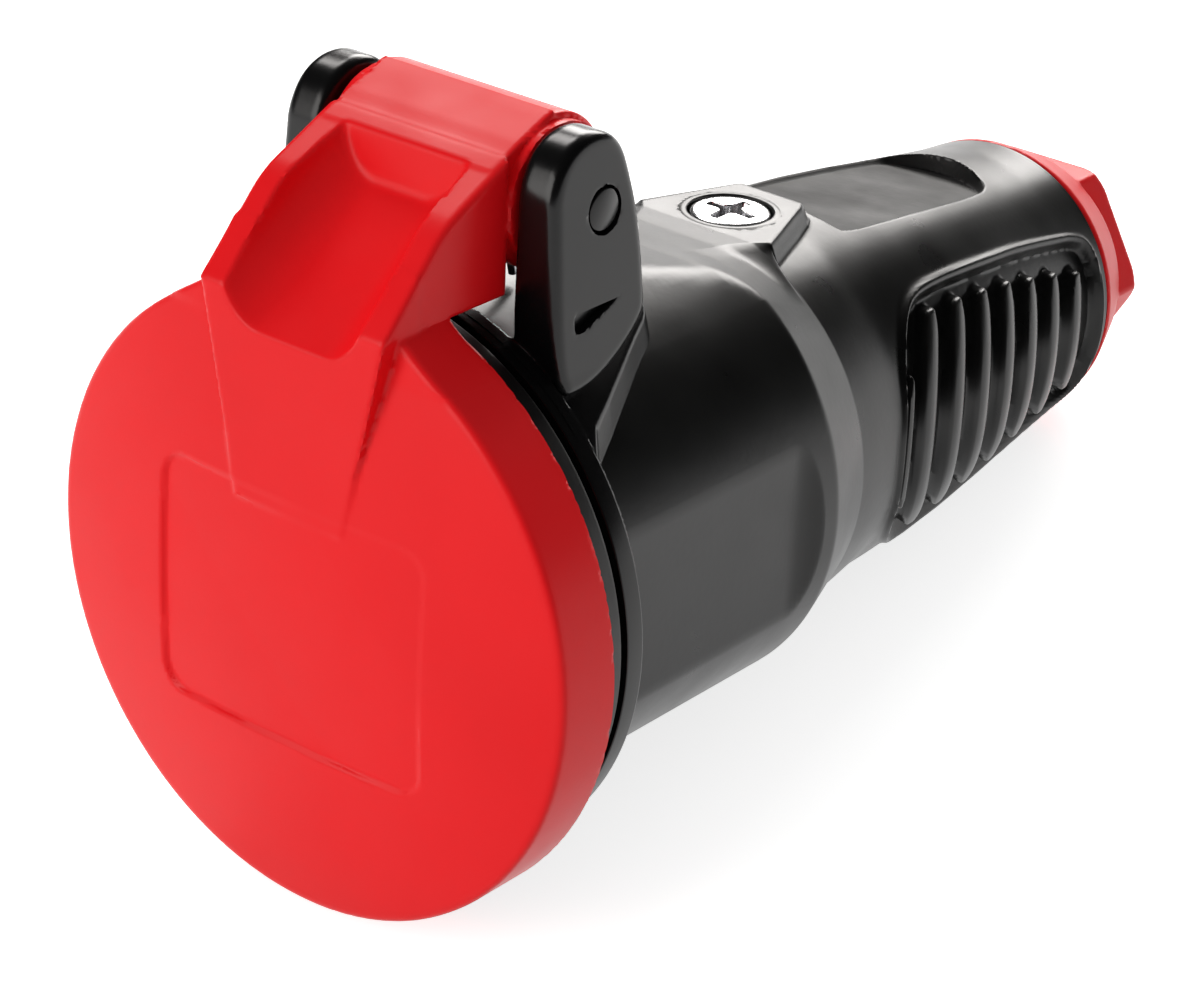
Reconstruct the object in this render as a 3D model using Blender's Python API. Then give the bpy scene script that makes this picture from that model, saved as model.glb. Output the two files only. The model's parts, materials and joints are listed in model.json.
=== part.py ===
"""Rubber extension socket with a self-closing hinged lid and a screw-on cable gland.

Every piece is made in the socket's own frame, as (x, depth, height): depth runs back along the socket
axis from the edge of the lid's face, and height runs up from that axis to the hinge. At the end the
whole part is laid down as it rests, on the lid's rim and the nut's flange, with its cable end low.
"""
from math import asin, atan2, cos, hypot, pi, sin, sqrt

import bmesh
import bpy
from mathutils import Matrix, Vector

# Fits and facets
CLEARANCE = 0.0003
ROUND_STEPS = 36
SMALL_STEPS = 20
ARC_STEPS = 5
SHARP_ANGLE = 0.6

# Socket recess and the insert that holds it
RECESS_RADIUS = 0.01975
RECESS_DEPTH = 0.0175
INSERT_WALL = 0.0010
PIN_SPACING = 0.0190
PIN_HOLE_RADIUS = 0.0031
PIN_GUIDE_DEPTH = 0.0045
SLEEVE_POCKET_DEPTH = 0.0022
KEY_RIB_WIDTH = 0.0050
KEY_RIB_HEIGHT = 0.0015
KEY_RIB_SETBACK = 0.0030
STRAP_CHANNEL_DEPTH = 0.0013
CARRIER_THICKNESS = 0.0038
CRADLE_WALL = 0.0012
CRADLE_LENGTH = 0.0085
TAIL_THICKNESS = 0.0020
TAIL_HALF_WIDTH = 0.0070
BOSS_RADIUS = 0.0038

# Contacts and earth strap
SLEEVE_BORE_RADIUS = 0.00245
SLEEVE_WALL = 0.0009
SLEEVE_SLOT_WIDTH = 0.0006
TERMINAL_WIDTH = 0.0070
TERMINAL_HEIGHT = 0.0080
TERMINAL_LENGTH = 0.0085
TERMINAL_LEAD = 0.0014
WIRE_HOLE_RADIUS = 0.0016
TERMINAL_SCREW_HEAD = 0.0026
TERMINAL_SCREW_SHANK = 0.0015
TERMINAL_SCREW_RISE = 0.0018
STRAP_WIDTH = 0.0060
STRAP_THICKNESS = 0.0007
CLIP_BULGE = 0.0018
CLIP_SETBACK = 0.0035
EARTH_STEM_RADIUS = 0.0016

# Hard front collar with its rubber lip
NOSE_WALL = 0.00355
LIP_WALL = 0.0020
LIP_DEPTH = 0.0036
LID_TO_LIP = 0.0015
BAND_GROOVE_WIDTH = 0.0006
BAND_GROOVE_DEPTH = 0.0010
BAND_DEPTH = 0.0025
BAND_ROUND = 0.0006
SADDLE_WALL = 0.0018
SADDLE_LENGTH = 0.0155
SADDLE_HALF_WIDTH = 0.0200
SADDLE_REAR_HALF_WIDTH = 0.0125
EAR_GAP_HALF = 0.0109
EAR_TOP_WIDTH = 0.0042
EAR_FOOT_WIDTH = 0.0054
EAR_LENGTH = 0.0116
EAR_FRONT_TO_PIN = 0.0065
EAR_TOP_ABOVE_PIN = 0.0065
EAR_EDGE_ROUND = 0.0012

# Lid
LID_WALL = 0.0020
LID_RIM_WALL = 0.0018
LID_DEPTH = 0.0065
LID_DOME = 0.0023
LID_EDGE_ROUND = 0.0006
LID_SEAL_DEPTH = 0.0026
LID_SEAL_WIDTH = 0.0028
LABEL_HALF_WIDTH = 0.0150
LABEL_TOP = 0.0107
LABEL_BOTTOM = 0.0124
LABEL_CORNER = 0.0026
LABEL_DEPTH = 0.0004
NECK_HALF_WIDTH = 0.0140
LEVER_HALF_WIDTH = 0.01026
LEVER_OVERHANG = 0.00185
LEVER_SINK = 0.0008
LEVER_BEND_DEPTH = 0.0052
LEVER_BEND_RISE = 0.0078
LEVER_TOP_DEPTH = 0.0142
LEVER_TOP_RISE = 0.0121
CREST_HALF_WIDTH = 0.0095
WEDGE_FOOT_HEIGHT = 0.0095
WEDGE_FOOT_HALF_WIDTH = 0.0062
SCOOP_HALF_WIDTH = 0.0074
SCOOP_CORNER = 0.0038
SCOOP_FLOOR_FRONT_DROP = 0.0032
SCOOP_END_DEPTH = 0.0120
SCOOP_END_RISE = 0.0079
KNUCKLE_RADIUS = 0.0073
KNUCKLE_HUB = 0.0009
PIN_RADIUS = 0.0020
PIN_BEHIND_FACE = 0.0197
SPRING_SLOT_HALF = 0.0046
SPRING_SLOT_RADIUS = 0.0054
SPRING_WIRE = 0.00045
SPRING_COIL_RADIUS = 0.0034
SPRING_TURNS = 6
SPRING_PITCH = 0.00125

# Rubber housing
BARREL_WALL = 0.00215
BARREL_LENGTH = 0.0304
SHOULDER_ROUND_LENGTH = 0.0023
SHOULDER_ROUND_DROP = 0.00035
SHOULDER_LENGTH = 0.0040
SHOULDER_DROP = 0.0026
HANDLE_LENGTH = 0.0537
TAIL_RADIUS = 0.0149
HANDLE_WALL = 0.0032
INSERT_SEAT_LEDGE = 0.0025
FACET_WALL = 0.0006
FACET_LENGTH = 0.0257
FACET_RUNOUT = 0.0047
PLATEAU_DROP = 0.0027
RAMP_START = 0.0177
RAMP_LENGTH = 0.0200
TONGUE_HALF_WIDTH = 0.0086
TONGUE_END_HALF_WIDTH = 0.0036
TONGUE_POINT_LENGTH = 0.0115
TONGUE_DRAFT = 0.0007
PANEL_HALF_WIDTH = 0.0076
PANEL_LENGTH = 0.0275
PANEL_GAP = 0.0015
PANEL_DEPTH = 0.0019
PANEL_CORNER = 0.0030
GRIP_START = 0.0095
GRIP_END = 0.0015
GRIP_FRONT_HEIGHT = 0.0128
GRIP_REAR_HEIGHT = 0.0088
GRIP_FRONT_BULGE = 0.0047
GRIP_CORNER = 0.0028
GRIP_FRAME_WIDTH = 0.0009
GRIP_FRAME_RISE = 0.0004
GROOVE_COUNT = 8
GROOVE_PITCH = 0.00535
GROOVE_WIDTH = 0.0026
GROOVE_DEPTH = 0.0012
GROOVE_MARGIN = 0.0014

# Housing screw
HOUSING_SCREW_FROM_BARREL = 0.0129
SCREW_HEAD_RADIUS = 0.0039
SCREW_HEAD_HEIGHT = 0.0020
SCREW_SHANK_RADIUS = 0.0019
CROSS_WIDTH = 0.0011
CROSS_LENGTH = 0.0047
CROSS_DEPTH = 0.0012

# Cable gland
GLAND_BORE_RADIUS = 0.0111
GLAND_BORE_LENGTH = 0.0175
GLAND_STEP_THICKNESS = 0.0022
GLAND_STEP_RADIUS = 0.0082
NUT_FLANGE_LENGTH = 0.0057
NUT_FLANGE_REAR_RADIUS = 0.0127
HEX_CORNER_RADIUS = 0.01275
HEX_LENGTH = 0.0042
NUT_SPIGOT_LENGTH = 0.0115
NUT_SPIGOT_WALL = 0.0012
NUT_MOUTH_RADIUS = 0.0065
NUT_CLOSING_LENGTH = 0.0060
CAGE_WALL = 0.0014
CAGE_BASE_LENGTH = 0.0035
CAGE_FINGER_LENGTH = 0.0105
CAGE_FINGER_COUNT = 8
CAGE_SLOT_WIDTH = 0.0013
GROMMET_BORE_RADIUS = 0.0050
GROMMET_OVERHANG = 0.0030

# Radii that follow, from the recess outwards
INSERT_RADIUS = RECESS_RADIUS + INSERT_WALL
SHELL_INNER_RADIUS = INSERT_RADIUS + CLEARANCE
BARREL_RADIUS = SHELL_INNER_RADIUS + BARREL_WALL
NOSE_RADIUS = SHELL_INNER_RADIUS + NOSE_WALL
LIP_INNER_RADIUS = NOSE_RADIUS + CLEARANCE
BAND_RADIUS = LIP_INNER_RADIUS + LIP_WALL
LID_INNER_RADIUS = BAND_RADIUS + CLEARANCE
LID_RADIUS = LID_INNER_RADIUS + LID_RIM_WALL
SADDLE_RADIUS = BARREL_RADIUS + CLEARANCE + SADDLE_WALL
SEAT_RADIUS = SHELL_INNER_RADIUS - INSERT_SEAT_LEDGE
NECK_RADIUS = BARREL_RADIUS - SHOULDER_DROP
PLATEAU_HEIGHT = BARREL_RADIUS - PLATEAU_DROP
FACET_PLANE = SHELL_INNER_RADIUS + FACET_WALL

# Depths that follow, from the lid's front face backwards
MOUTH = LID_WALL + CLEARANCE + LID_SEAL_DEPTH + CLEARANCE
RECESS_FLOOR = MOUTH + RECESS_DEPTH
SLEEVE_FRONT = RECESS_FLOOR + PIN_GUIDE_DEPTH
INSERT_BACK = SLEEVE_FRONT + CLEARANCE + SLEEVE_POCKET_DEPTH
CARRIER_FRONT = INSERT_BACK + CLEARANCE
CARRIER_BACK = CARRIER_FRONT + CARRIER_THICKNESS
SEAT_DEPTH = CARRIER_BACK + CLEARANCE
LIP_FRONT = LID_DEPTH + LID_TO_LIP
GROOVE_FRONT = LIP_FRONT + LIP_DEPTH + CLEARANCE
BAND_FRONT = GROOVE_FRONT + BAND_GROOVE_WIDTH
COLLAR_BACK = BAND_FRONT + BAND_DEPTH
HOUSING_FRONT = COLLAR_BACK + CLEARANCE
BARREL_END = HOUSING_FRONT + BARREL_LENGTH
CONE_START = BARREL_END + SHOULDER_ROUND_LENGTH
NECK_START = CONE_START + SHOULDER_LENGTH
HANDLE_END = NECK_START + HANDLE_LENGTH
NUT_FRONT = HANDLE_END + CLEARANCE
HEX_FRONT = NUT_FRONT + NUT_FLANGE_LENGTH
NUT_BACK = HEX_FRONT + HEX_LENGTH
GLAND_SEAT = HANDLE_END - GLAND_BORE_LENGTH
GLAND_STEP_FRONT = GLAND_SEAT - GLAND_STEP_THICKNESS
TERMINAL_FRONT = CARRIER_BACK + CLEARANCE + TERMINAL_LEAD
TERMINAL_BACK = TERMINAL_FRONT + TERMINAL_LENGTH
SCREW_DEPTH = BARREL_END + HOUSING_SCREW_FROM_BARREL
DOME_RADIUS = LID_RADIUS - LID_EDGE_ROUND

# Heights that follow
LEVER_BOTTOM = LID_RADIUS - LEVER_SINK
PIN_HEIGHT = LEVER_BOTTOM + KNUCKLE_RADIUS


def place(x, depth, height):
    """Give the point named by its x, depth and height."""
    return Vector((x, depth, height))


def side_view(depth, height, x):
    """Place a point of an outline drawn from the side and pushed out along X."""
    return place(x, depth, height)


def plan_view(x, depth, height):
    """Place a point of an outline drawn from above and pushed out upwards."""
    return place(x, depth, height)


def front_view(x, height, depth):
    """Place a point of an outline drawn from the front and pushed out backwards."""
    return place(x, depth, height)


def axis_frame(x=0.0, height=0.0):
    """Give the frame for turning about a line parallel to the socket axis; its Z is the depth."""
    columns = Matrix(((1, 0, 0), (0, 0, 1), (0, -1, 0))).to_4x4()
    return Matrix.Translation(place(x, 0, height)) @ columns


def cross_frame(depth, height):
    """Give the frame for turning about a line along X; its Z is x."""
    columns = Matrix(((0, 0, 1), (1, 0, 0), (0, 1, 0))).to_4x4()
    return Matrix.Translation(place(0, depth, height)) @ columns


def upright_frame(x, depth, height=0.0):
    """Give the frame for turning about an upright line; its Z is the height above this height."""
    return Matrix.Translation(place(x, depth, height))


def make_material(name, colour, roughness, metallic=0.0):
    """Make a plain Principled material."""
    material = bpy.data.materials.new(name)
    material.use_nodes = True
    shader = material.node_tree.nodes["Principled BSDF"]
    shader.inputs["Base Color"].default_value = (*colour, 1)
    shader.inputs["Roughness"].default_value = roughness
    shader.inputs["Metallic"].default_value = metallic
    material.diffuse_color = (*colour, 1)
    return material


def make_object(name, points, faces):
    """Make a closed mesh object with its faces pointing out and its round sides smooth."""
    mesh = bpy.data.meshes.new(name)
    mesh.from_pydata(points, [], faces)
    shape = bmesh.new()
    shape.from_mesh(mesh)
    bmesh.ops.recalc_face_normals(shape, faces=shape.faces)
    shape.to_mesh(mesh)
    shape.free()
    mesh.shade_smooth()
    mesh.set_sharp_from_angle(angle=SHARP_ANGLE)
    item = bpy.data.objects.new(name, mesh)
    bpy.context.scene.collection.objects.link(item)
    return item


def turned(name, profile, frame, steps=ROUND_STEPS):
    """Turn a closed profile of (distance, radius) points; the middle of each facet has the true radius."""
    grow = 1 / cos(pi / steps)
    points = []
    rings = []
    for distance, radius in profile:
        count = steps if radius > 0 else 1
        rings.append([len(points) + k for k in range(count)])
        for k in range(count):
            angle = 2 * pi * (k + 0.5) / steps
            across = radius * grow
            points.append(frame @ Vector((across * cos(angle), across * sin(angle), distance)))
    faces = []
    for ring, following in zip(rings, rings[1:] + rings[:1]):
        for k in range(steps):
            here = (ring[k % len(ring)], ring[(k + 1) % len(ring)])
            there = (following[(k + 1) % len(following)], following[k % len(following)])
            corners = tuple(dict.fromkeys(here + there))
            if len(corners) > 2:
                faces.append(corners)
    return make_object(name, points, faces)


def lofted(name, loops):
    """Join outlines that have the same number of points, and close both ends."""
    count = len(loops[0])
    points = [point for loop in loops for point in loop]
    faces = [tuple(range(count)), tuple(range(len(points) - count, len(points)))]
    for start in range(0, len(points) - count, count):
        for k in range(count):
            following = (k + 1) % count
            faces.append((start + k, start + following, start + count + following, start + count + k))
    return make_object(name, points, faces)


def prism(name, outline, start, end, view):
    """Push an outline out from one distance to another in the given view."""
    return lofted(name, [[view(u, v, w) for u, v in outline] for w in (start, end)])


def prisms(name, outlines, start, end, view):
    """Push several separate outlines out into one object."""
    points = []
    faces = []
    for outline in outlines:
        first = len(points)
        count = len(outline)
        points += [view(u, v, w) for w in (start, end) for u, v in outline]
        faces.append(tuple(range(first, first + count)))
        faces.append(tuple(range(first + count, first + 2 * count)))
        for k in range(count):
            following = (k + 1) % count
            faces.append((first + k, first + following, first + count + following, first + count + k))
    return make_object(name, points, faces)


def rounded(corners, radius, steps=ARC_STEPS):
    """Round the corners of an outline with arcs that touch both sides; radius may be a list."""
    radii = radius if isinstance(radius, (list, tuple)) else [radius] * len(corners)
    outline = []
    for k, (corner, size) in enumerate(zip(corners, radii)):
        here = Vector(corner)
        before = (Vector(corners[k - 1]) - here).normalized()
        after = (Vector(corners[(k + 1) % len(corners)]) - here).normalized()
        if size <= 0:
            outline.append(tuple(here))
            continue
        half = before.angle(after) / 2
        reach = size / cos(half) * sin(half) ** -1 * cos(half)
        centre = here + (before + after).normalized() * reach
        touch = cos(half) / sin(half) * size
        start = here + before * touch - centre
        end = here + after * touch - centre
        first = atan2(start.y, start.x)
        turn = (atan2(end.y, end.x) - first + pi) % (2 * pi) - pi
        for step in range(steps + 1):
            angle = first + turn * step / steps
            outline.append((centre.x + size * cos(angle), centre.y + size * sin(angle)))
    return outline


def combine(target, tool, operation):
    """Let a helper object add to, cut or trim the target."""
    modifier = target.modifiers.new(tool.name, "BOOLEAN")
    modifier.operation = operation
    modifier.solver = "EXACT"
    modifier.object = tool
    tool.hide_render = True
    tool.display_type = "WIRE"


def cut(target, tool):
    """Take the tool's shape away from the target."""
    combine(target, tool, "DIFFERENCE")


def join(target, tool):
    """Add the tool's shape to the target."""
    combine(target, tool, "UNION")


def trim(target, tool):
    """Keep only what the target shares with the tool."""
    combine(target, tool, "INTERSECT")


def finish(item, material):
    """Give a finished piece its own material."""
    own = material.copy()
    own.name = item.name
    item.data.materials.append(own)
    return item


def handle_curve(steps=8):
    """Give (depth, radius) points of the handle from the neck to its rear end, as one smooth curve."""
    ends = ((NECK_START, NECK_RADIUS), (HANDLE_END, TAIL_RADIUS))
    fall = NECK_RADIUS - TAIL_RADIUS
    controls = (ends[0],
                (NECK_START + HANDLE_LENGTH * 0.43, NECK_RADIUS - fall * 0.22),
                (NECK_START + HANDLE_LENGTH * 0.70, TAIL_RADIUS + fall * 0.28),
                ends[1])
    curve = []
    for step in range(steps + 1):
        t = step / steps
        weights = ((1 - t) ** 3, 3 * t * (1 - t) ** 2, 3 * t * t * (1 - t), t ** 3)
        curve.append(tuple(sum(w * c[axis] for w, c in zip(weights, controls)) for axis in (0, 1)))
    return curve


def body_radius(depth):
    """Give the handle's outer radius at a depth behind the neck."""
    curve = handle_curve()
    for (back, small), (front, large) in zip(curve[1:], curve):
        if depth <= back:
            return large + (small - large) * (depth - front) / (back - front)
    return TAIL_RADIUS


def grip_skin(name, offset):
    """Turn a solid that follows the handle's surface at an offset."""
    curve = [(depth, radius + offset) for depth, radius in handle_curve(5)]
    return turned(name, [(NECK_START, 0), *curve, (HANDLE_END, 0)], axis_frame())


def grip_top(depth):
    """Give the half-height of the grip panel at a depth."""
    front = NECK_START + GRIP_START
    share = (depth - front) / (HANDLE_END - GRIP_END - front)
    return GRIP_FRONT_HEIGHT + (GRIP_REAR_HEIGHT - GRIP_FRONT_HEIGHT) * share


def bulge_radius():
    """Give the radius of the arc that the grip's front edge and its ribs follow."""
    return (GRIP_FRONT_HEIGHT ** 2 + GRIP_FRONT_BULGE ** 2) / (2 * GRIP_FRONT_BULGE)


def bulged(depth, height):
    """Move a point of an upright line back along the bulging arc; the middle stays in place."""
    radius = bulge_radius()
    return depth + radius - sqrt(radius ** 2 - height ** 2)


def grip_outline(inset):
    """Give the grip panel's outline from the side, drawn inwards by an inset."""
    front = NECK_START + GRIP_START + inset
    rear = HANDLE_END - GRIP_END - inset
    high = GRIP_FRONT_HEIGHT - inset
    low = GRIP_REAR_HEIGHT - inset
    front_arc = [(bulged(front, high * k / 4), high * k / 4) for k in range(-4, 5)]
    corners = front_arc + [(rear, low), (rear, -low)]
    corner = max(GRIP_CORNER - inset, GRIP_CORNER / 4)
    radii = [corner] + [0] * (len(front_arc) - 2) + [corner, corner * 0.7, corner * 0.7]
    return rounded(corners, radii, 4)


def groove_outline(middle):
    """Give one curved groove's outline from the side, with round ends."""
    half = GROOVE_WIDTH / 2
    reach = grip_top(middle + GRIP_FRONT_BULGE / 2) - GRIP_FRAME_WIDTH - GROOVE_MARGIN - half
    heights = [reach * k / 3 for k in range(-3, 4)]
    outline = [(bulged(middle, height) - half, height) for height in heights]
    for k in range(1, 3):
        angle = pi - pi * k / 3
        outline.append((bulged(middle, reach) + half * cos(angle), reach + half * sin(angle)))
    outline += [(bulged(middle, height) + half, height) for height in reversed(heights)]
    for k in range(1, 3):
        angle = -pi * k / 3
        outline.append((bulged(middle, reach) + half * cos(angle), -reach + half * sin(angle)))
    return outline


def housing_outer():
    """Turn the outside of the rubber housing: barrel, shoulder and handle."""
    round_arc = []
    for step in range(ARC_STEPS):
        angle = pi / 2 * step / ARC_STEPS
        depth = BARREL_END + SHOULDER_ROUND_LENGTH * sin(angle)
        round_arc.append((depth, BARREL_RADIUS - SHOULDER_ROUND_DROP * (1 - cos(angle))))
    profile = [(HOUSING_FRONT, 0), (HOUSING_FRONT, BARREL_RADIUS), *round_arc,
               (CONE_START, BARREL_RADIUS - SHOULDER_ROUND_DROP), *handle_curve(), (HANDLE_END, 0)]
    return turned("rubber_housing", profile, axis_frame())


def housing_cavity():
    """Turn the hollow of the rubber housing, open at both ends."""
    behind = 2 * CLEARANCE
    inner_cone = SEAT_RADIUS - SHOULDER_DROP / 2
    profile = [(HOUSING_FRONT - behind, 0), (HOUSING_FRONT - behind, SHELL_INNER_RADIUS),
               (SEAT_DEPTH, SHELL_INNER_RADIUS), (SEAT_DEPTH, SEAT_RADIUS), (BARREL_END, SEAT_RADIUS),
               (NECK_START, inner_cone)]
    profile += [(depth, radius - HANDLE_WALL) for depth, radius in handle_curve()
                if NECK_START + SHOULDER_LENGTH < depth < GLAND_STEP_FRONT - CLEARANCE]
    profile += [(GLAND_STEP_FRONT, body_radius(GLAND_STEP_FRONT) - HANDLE_WALL),
                (GLAND_STEP_FRONT, GLAND_STEP_RADIUS), (GLAND_SEAT, GLAND_STEP_RADIUS),
                (GLAND_SEAT, GLAND_BORE_RADIUS), (HANDLE_END + behind, GLAND_BORE_RADIUS),
                (HANDLE_END + behind, 0)]
    return turned("housing_cavity", profile, axis_frame())


def ramp_outline():
    """Give the side view of what is cut away above the ramp and its flat plateau."""
    start = HOUSING_FRONT + RAMP_START
    above = BARREL_RADIUS + SADDLE_WALL
    steps = 10
    outline = []
    for step in range(steps + 1):
        share = step / steps
        height = PLATEAU_HEIGHT + PLATEAU_DROP * (1 - share) ** 1.5
        outline.append((start + RAMP_LENGTH * share, height))
    end = NECK_START + TONGUE_POINT_LENGTH + 2 * PANEL_GAP
    return outline + [(end, PLATEAU_HEIGHT), (end, above), (start, above)]


def tongue_outline(spread):
    """Give the plan of the pointed tongue that carries the housing screw."""
    front = BARREL_END - TONGUE_POINT_LENGTH / 2
    wide = TONGUE_HALF_WIDTH + spread
    narrow = TONGUE_END_HALF_WIDTH + spread
    point = NECK_START + TONGUE_POINT_LENGTH / 8
    end = NECK_START + TONGUE_POINT_LENGTH + spread
    return [(-wide, front), (-wide, point), (-narrow, end), (narrow, end), (wide, point), (wide, front)]


def facet_outline():
    """Give the plan of the flat on one side of the barrel, which runs out in a hollow curve."""
    flat_end = HOUSING_FRONT + FACET_LENGTH
    rise = BARREL_RADIUS - FACET_PLANE
    radius = (FACET_RUNOUT ** 2 + rise ** 2) / (2 * rise)
    steps = 8
    outline = [(FACET_PLANE, HOUSING_FRONT - CLEARANCE)]
    for step in range(steps + 1):
        along = FACET_RUNOUT * 1.04 * step / steps
        outline.append((FACET_PLANE + radius - sqrt(radius ** 2 - along ** 2), flat_end + along))
    outside = BARREL_RADIUS + SADDLE_WALL
    return outline + [(outside, outline[-1][1]), (outside, HOUSING_FRONT - CLEARANCE)]


def panel_cutter():
    """Make the cutter for the bare recessed panel on top of the handle."""
    front = NECK_START + TONGUE_POINT_LENGTH + PANEL_GAP
    back = front + PANEL_LENGTH
    width = PANEL_HALF_WIDTH
    corners = [(-width, front), (-width, back), (width, back), (width, front)]
    outline = rounded(corners, [PANEL_CORNER / 4, PANEL_CORNER, PANEL_CORNER, PANEL_CORNER / 4])
    slope = (body_radius(back) - body_radius(front)) / PANEL_LENGTH
    floor = body_radius(front) - PANEL_DEPTH

    def bottom(x, depth):
        return place(x, depth, floor + slope * (depth - front))

    top = PLATEAU_HEIGHT + SADDLE_WALL
    loops = [[bottom(x, depth) for x, depth in outline], [place(x, depth, top) for x, depth in outline]]
    return lofted("panel_recess", loops)


def make_housing(rubber):
    """Make the rubber housing: one moulding from the barrel to the gland."""
    housing = housing_outer()
    frame = prism("grip_frame_outer", grip_outline(0), -BARREL_RADIUS, BARREL_RADIUS, side_view)
    hollow = prism("grip_frame_inner", grip_outline(GRIP_FRAME_WIDTH), -LID_RADIUS, LID_RADIUS, side_view)
    cut(frame, hollow)
    trim(frame, grip_skin("grip_frame_skin", GRIP_FRAME_RISE))
    join(housing, frame)
    draft = TONGUE_DRAFT
    levels = ((NECK_RADIUS - HANDLE_WALL / 2, draft), (PLATEAU_HEIGHT, 0), (BARREL_RADIUS, -draft))
    tongue = lofted("tongue", [[place(x, depth, height) for x, depth in tongue_outline(spread)]
                               for height, spread in levels])
    join(housing, tongue)
    cut(housing, prism("ramp", ramp_outline(), -BARREL_RADIUS, BARREL_RADIUS, side_view))
    for side, name in ((1, "right"), (-1, "left")):
        outline = [(side * x, depth) for x, depth in facet_outline()]
        cut(housing, prism("facet_" + name, outline, -BARREL_RADIUS, BARREL_RADIUS, plan_view))
    first = NECK_START + GRIP_START + GRIP_FRAME_WIDTH + GROOVE_MARGIN + GROOVE_WIDTH / 2
    middles = [first + GROOVE_PITCH * k - GROOVE_MARGIN for k in range(GROOVE_COUNT)]
    grooves = prisms("grip_grooves", [groove_outline(middle) for middle in middles],
                     -BARREL_RADIUS, BARREL_RADIUS, side_view)
    cut(grooves, grip_skin("grip_groove_floor", -GROOVE_DEPTH))
    cut(housing, grooves)
    cut(housing, panel_cutter())
    seat = PLATEAU_HEIGHT - CLEARANCE / 2 - SCREW_HEAD_HEIGHT - CLEARANCE
    bore = SCREW_HEAD_RADIUS + CLEARANCE
    profile = [(0, 0), (0, SCREW_SHANK_RADIUS + CLEARANCE), (seat, SCREW_SHANK_RADIUS + CLEARANCE),
               (seat, bore), (BARREL_RADIUS, bore), (BARREL_RADIUS, 0)]
    cut(housing, turned("screw_hole", profile, upright_frame(0, SCREW_DEPTH), SMALL_STEPS))
    cut(housing, housing_cavity())
    return finish(housing, rubber)


def ear_foot(x):
    """Give the height of an ear's foot at x, inside the saddle's wall."""
    return sqrt(SADDLE_RADIUS ** 2 - x ** 2) - SADDLE_WALL / 2


def ear_width(height):
    """Give an ear's width at a height; it narrows towards the top."""
    foot = ear_foot(EAR_GAP_HALF + EAR_FOOT_WIDTH)
    share = (height - foot) / (PIN_HEIGHT + EAR_TOP_ABOVE_PIN - foot)
    return EAR_FOOT_WIDTH + (EAR_TOP_WIDTH - EAR_FOOT_WIDTH) * share


def make_collar(plastic):
    """Make the hard front collar with its saddle and the two hinge ears."""
    groove_radius = BAND_RADIUS - BAND_GROOVE_DEPTH
    profile = [(MOUTH, SHELL_INNER_RADIUS), (MOUTH, NOSE_RADIUS - CLEARANCE),
               (MOUTH + CLEARANCE, NOSE_RADIUS), (GROOVE_FRONT, NOSE_RADIUS),
               (GROOVE_FRONT, groove_radius), (BAND_FRONT, groove_radius), (BAND_FRONT, BAND_RADIUS),
               (COLLAR_BACK - BAND_ROUND, BAND_RADIUS - CLEARANCE / 2),
               (COLLAR_BACK - BAND_ROUND / 3, BAND_RADIUS - BAND_ROUND / 2),
               (COLLAR_BACK, BAND_RADIUS - BAND_ROUND), (COLLAR_BACK, SHELL_INNER_RADIUS)]
    collar = turned("front_collar", profile, axis_frame())
    saddle_back = COLLAR_BACK + SADDLE_LENGTH
    saddle_front = BAND_FRONT + BAND_DEPTH / 2
    saddle = turned("saddle", [(saddle_front, BARREL_RADIUS + CLEARANCE), (saddle_front, SADDLE_RADIUS),
                               (saddle_back - SADDLE_WALL / 2, SADDLE_RADIUS),
                               (saddle_back, SADDLE_RADIUS - SADDLE_WALL / 2),
                               (saddle_back, BARREL_RADIUS + CLEARANCE)], axis_frame())
    wide = SADDLE_HALF_WIDTH
    narrow = SADDLE_REAR_HALF_WIDTH
    plan = [(-wide, saddle_front - CLEARANCE), (-wide, COLLAR_BACK + SADDLE_WALL),
            (-narrow, saddle_back + CLEARANCE), (narrow, saddle_back + CLEARANCE),
            (wide, COLLAR_BACK + SADDLE_WALL), (wide, saddle_front - CLEARANCE)]
    trim(saddle, prism("saddle_plan", plan, 0, LID_RADIUS, plan_view))
    front = PIN_BEHIND_FACE - EAR_FRONT_TO_PIN
    back = front + EAR_LENGTH
    top = PIN_HEIGHT + EAR_TOP_ABOVE_PIN
    inset = EAR_EDGE_ROUND
    for side, name in ((1, "right"), (-1, "left")):
        loops = []
        for share, trimmed in ((0, 0), (1 - inset / EAR_TOP_WIDTH, 0), (0.93, inset * 0.35), (1, inset)):
            foot = ear_foot(EAR_GAP_HALF + EAR_FOOT_WIDTH * share)
            corners = [(front + trimmed, foot), (front + trimmed, top - trimmed),
                       (back - trimmed, top - trimmed), (back - trimmed, foot)]
            bend = EAR_LENGTH / 2 - trimmed - CLEARANCE
            loops.append([place(side * (EAR_GAP_HALF + ear_width(height) * share), depth, height)
                          for depth, height in rounded(corners, [0, bend, bend, 0], 8)])
        join(saddle, lofted("ear_" + name, loops))
    reach = EAR_GAP_HALF + EAR_FOOT_WIDTH + SADDLE_WALL
    bore = PIN_RADIUS + CLEARANCE
    hole = [(-reach, 0), (-reach, bore), (reach, bore), (reach, 0)]
    cut(saddle, turned("ear_bores", hole, cross_frame(PIN_BEHIND_FACE, PIN_HEIGHT), SMALL_STEPS))
    join(collar, saddle)
    return finish(collar, plastic)


def make_front_lip(rubber):
    """Make the rubber lip ring that sits on the collar's nose behind the lid's rim."""
    back = LIP_FRONT + LIP_DEPTH
    edge = LIP_DEPTH / 6
    profile = [(LIP_FRONT, LIP_INNER_RADIUS), (LIP_FRONT, BAND_RADIUS - edge), (LIP_FRONT + edge, BAND_RADIUS),
               (back - edge, BAND_RADIUS), (back, BAND_RADIUS - edge), (back, LIP_INNER_RADIUS)]
    return finish(turned("front_lip", profile, axis_frame()), rubber)


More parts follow.
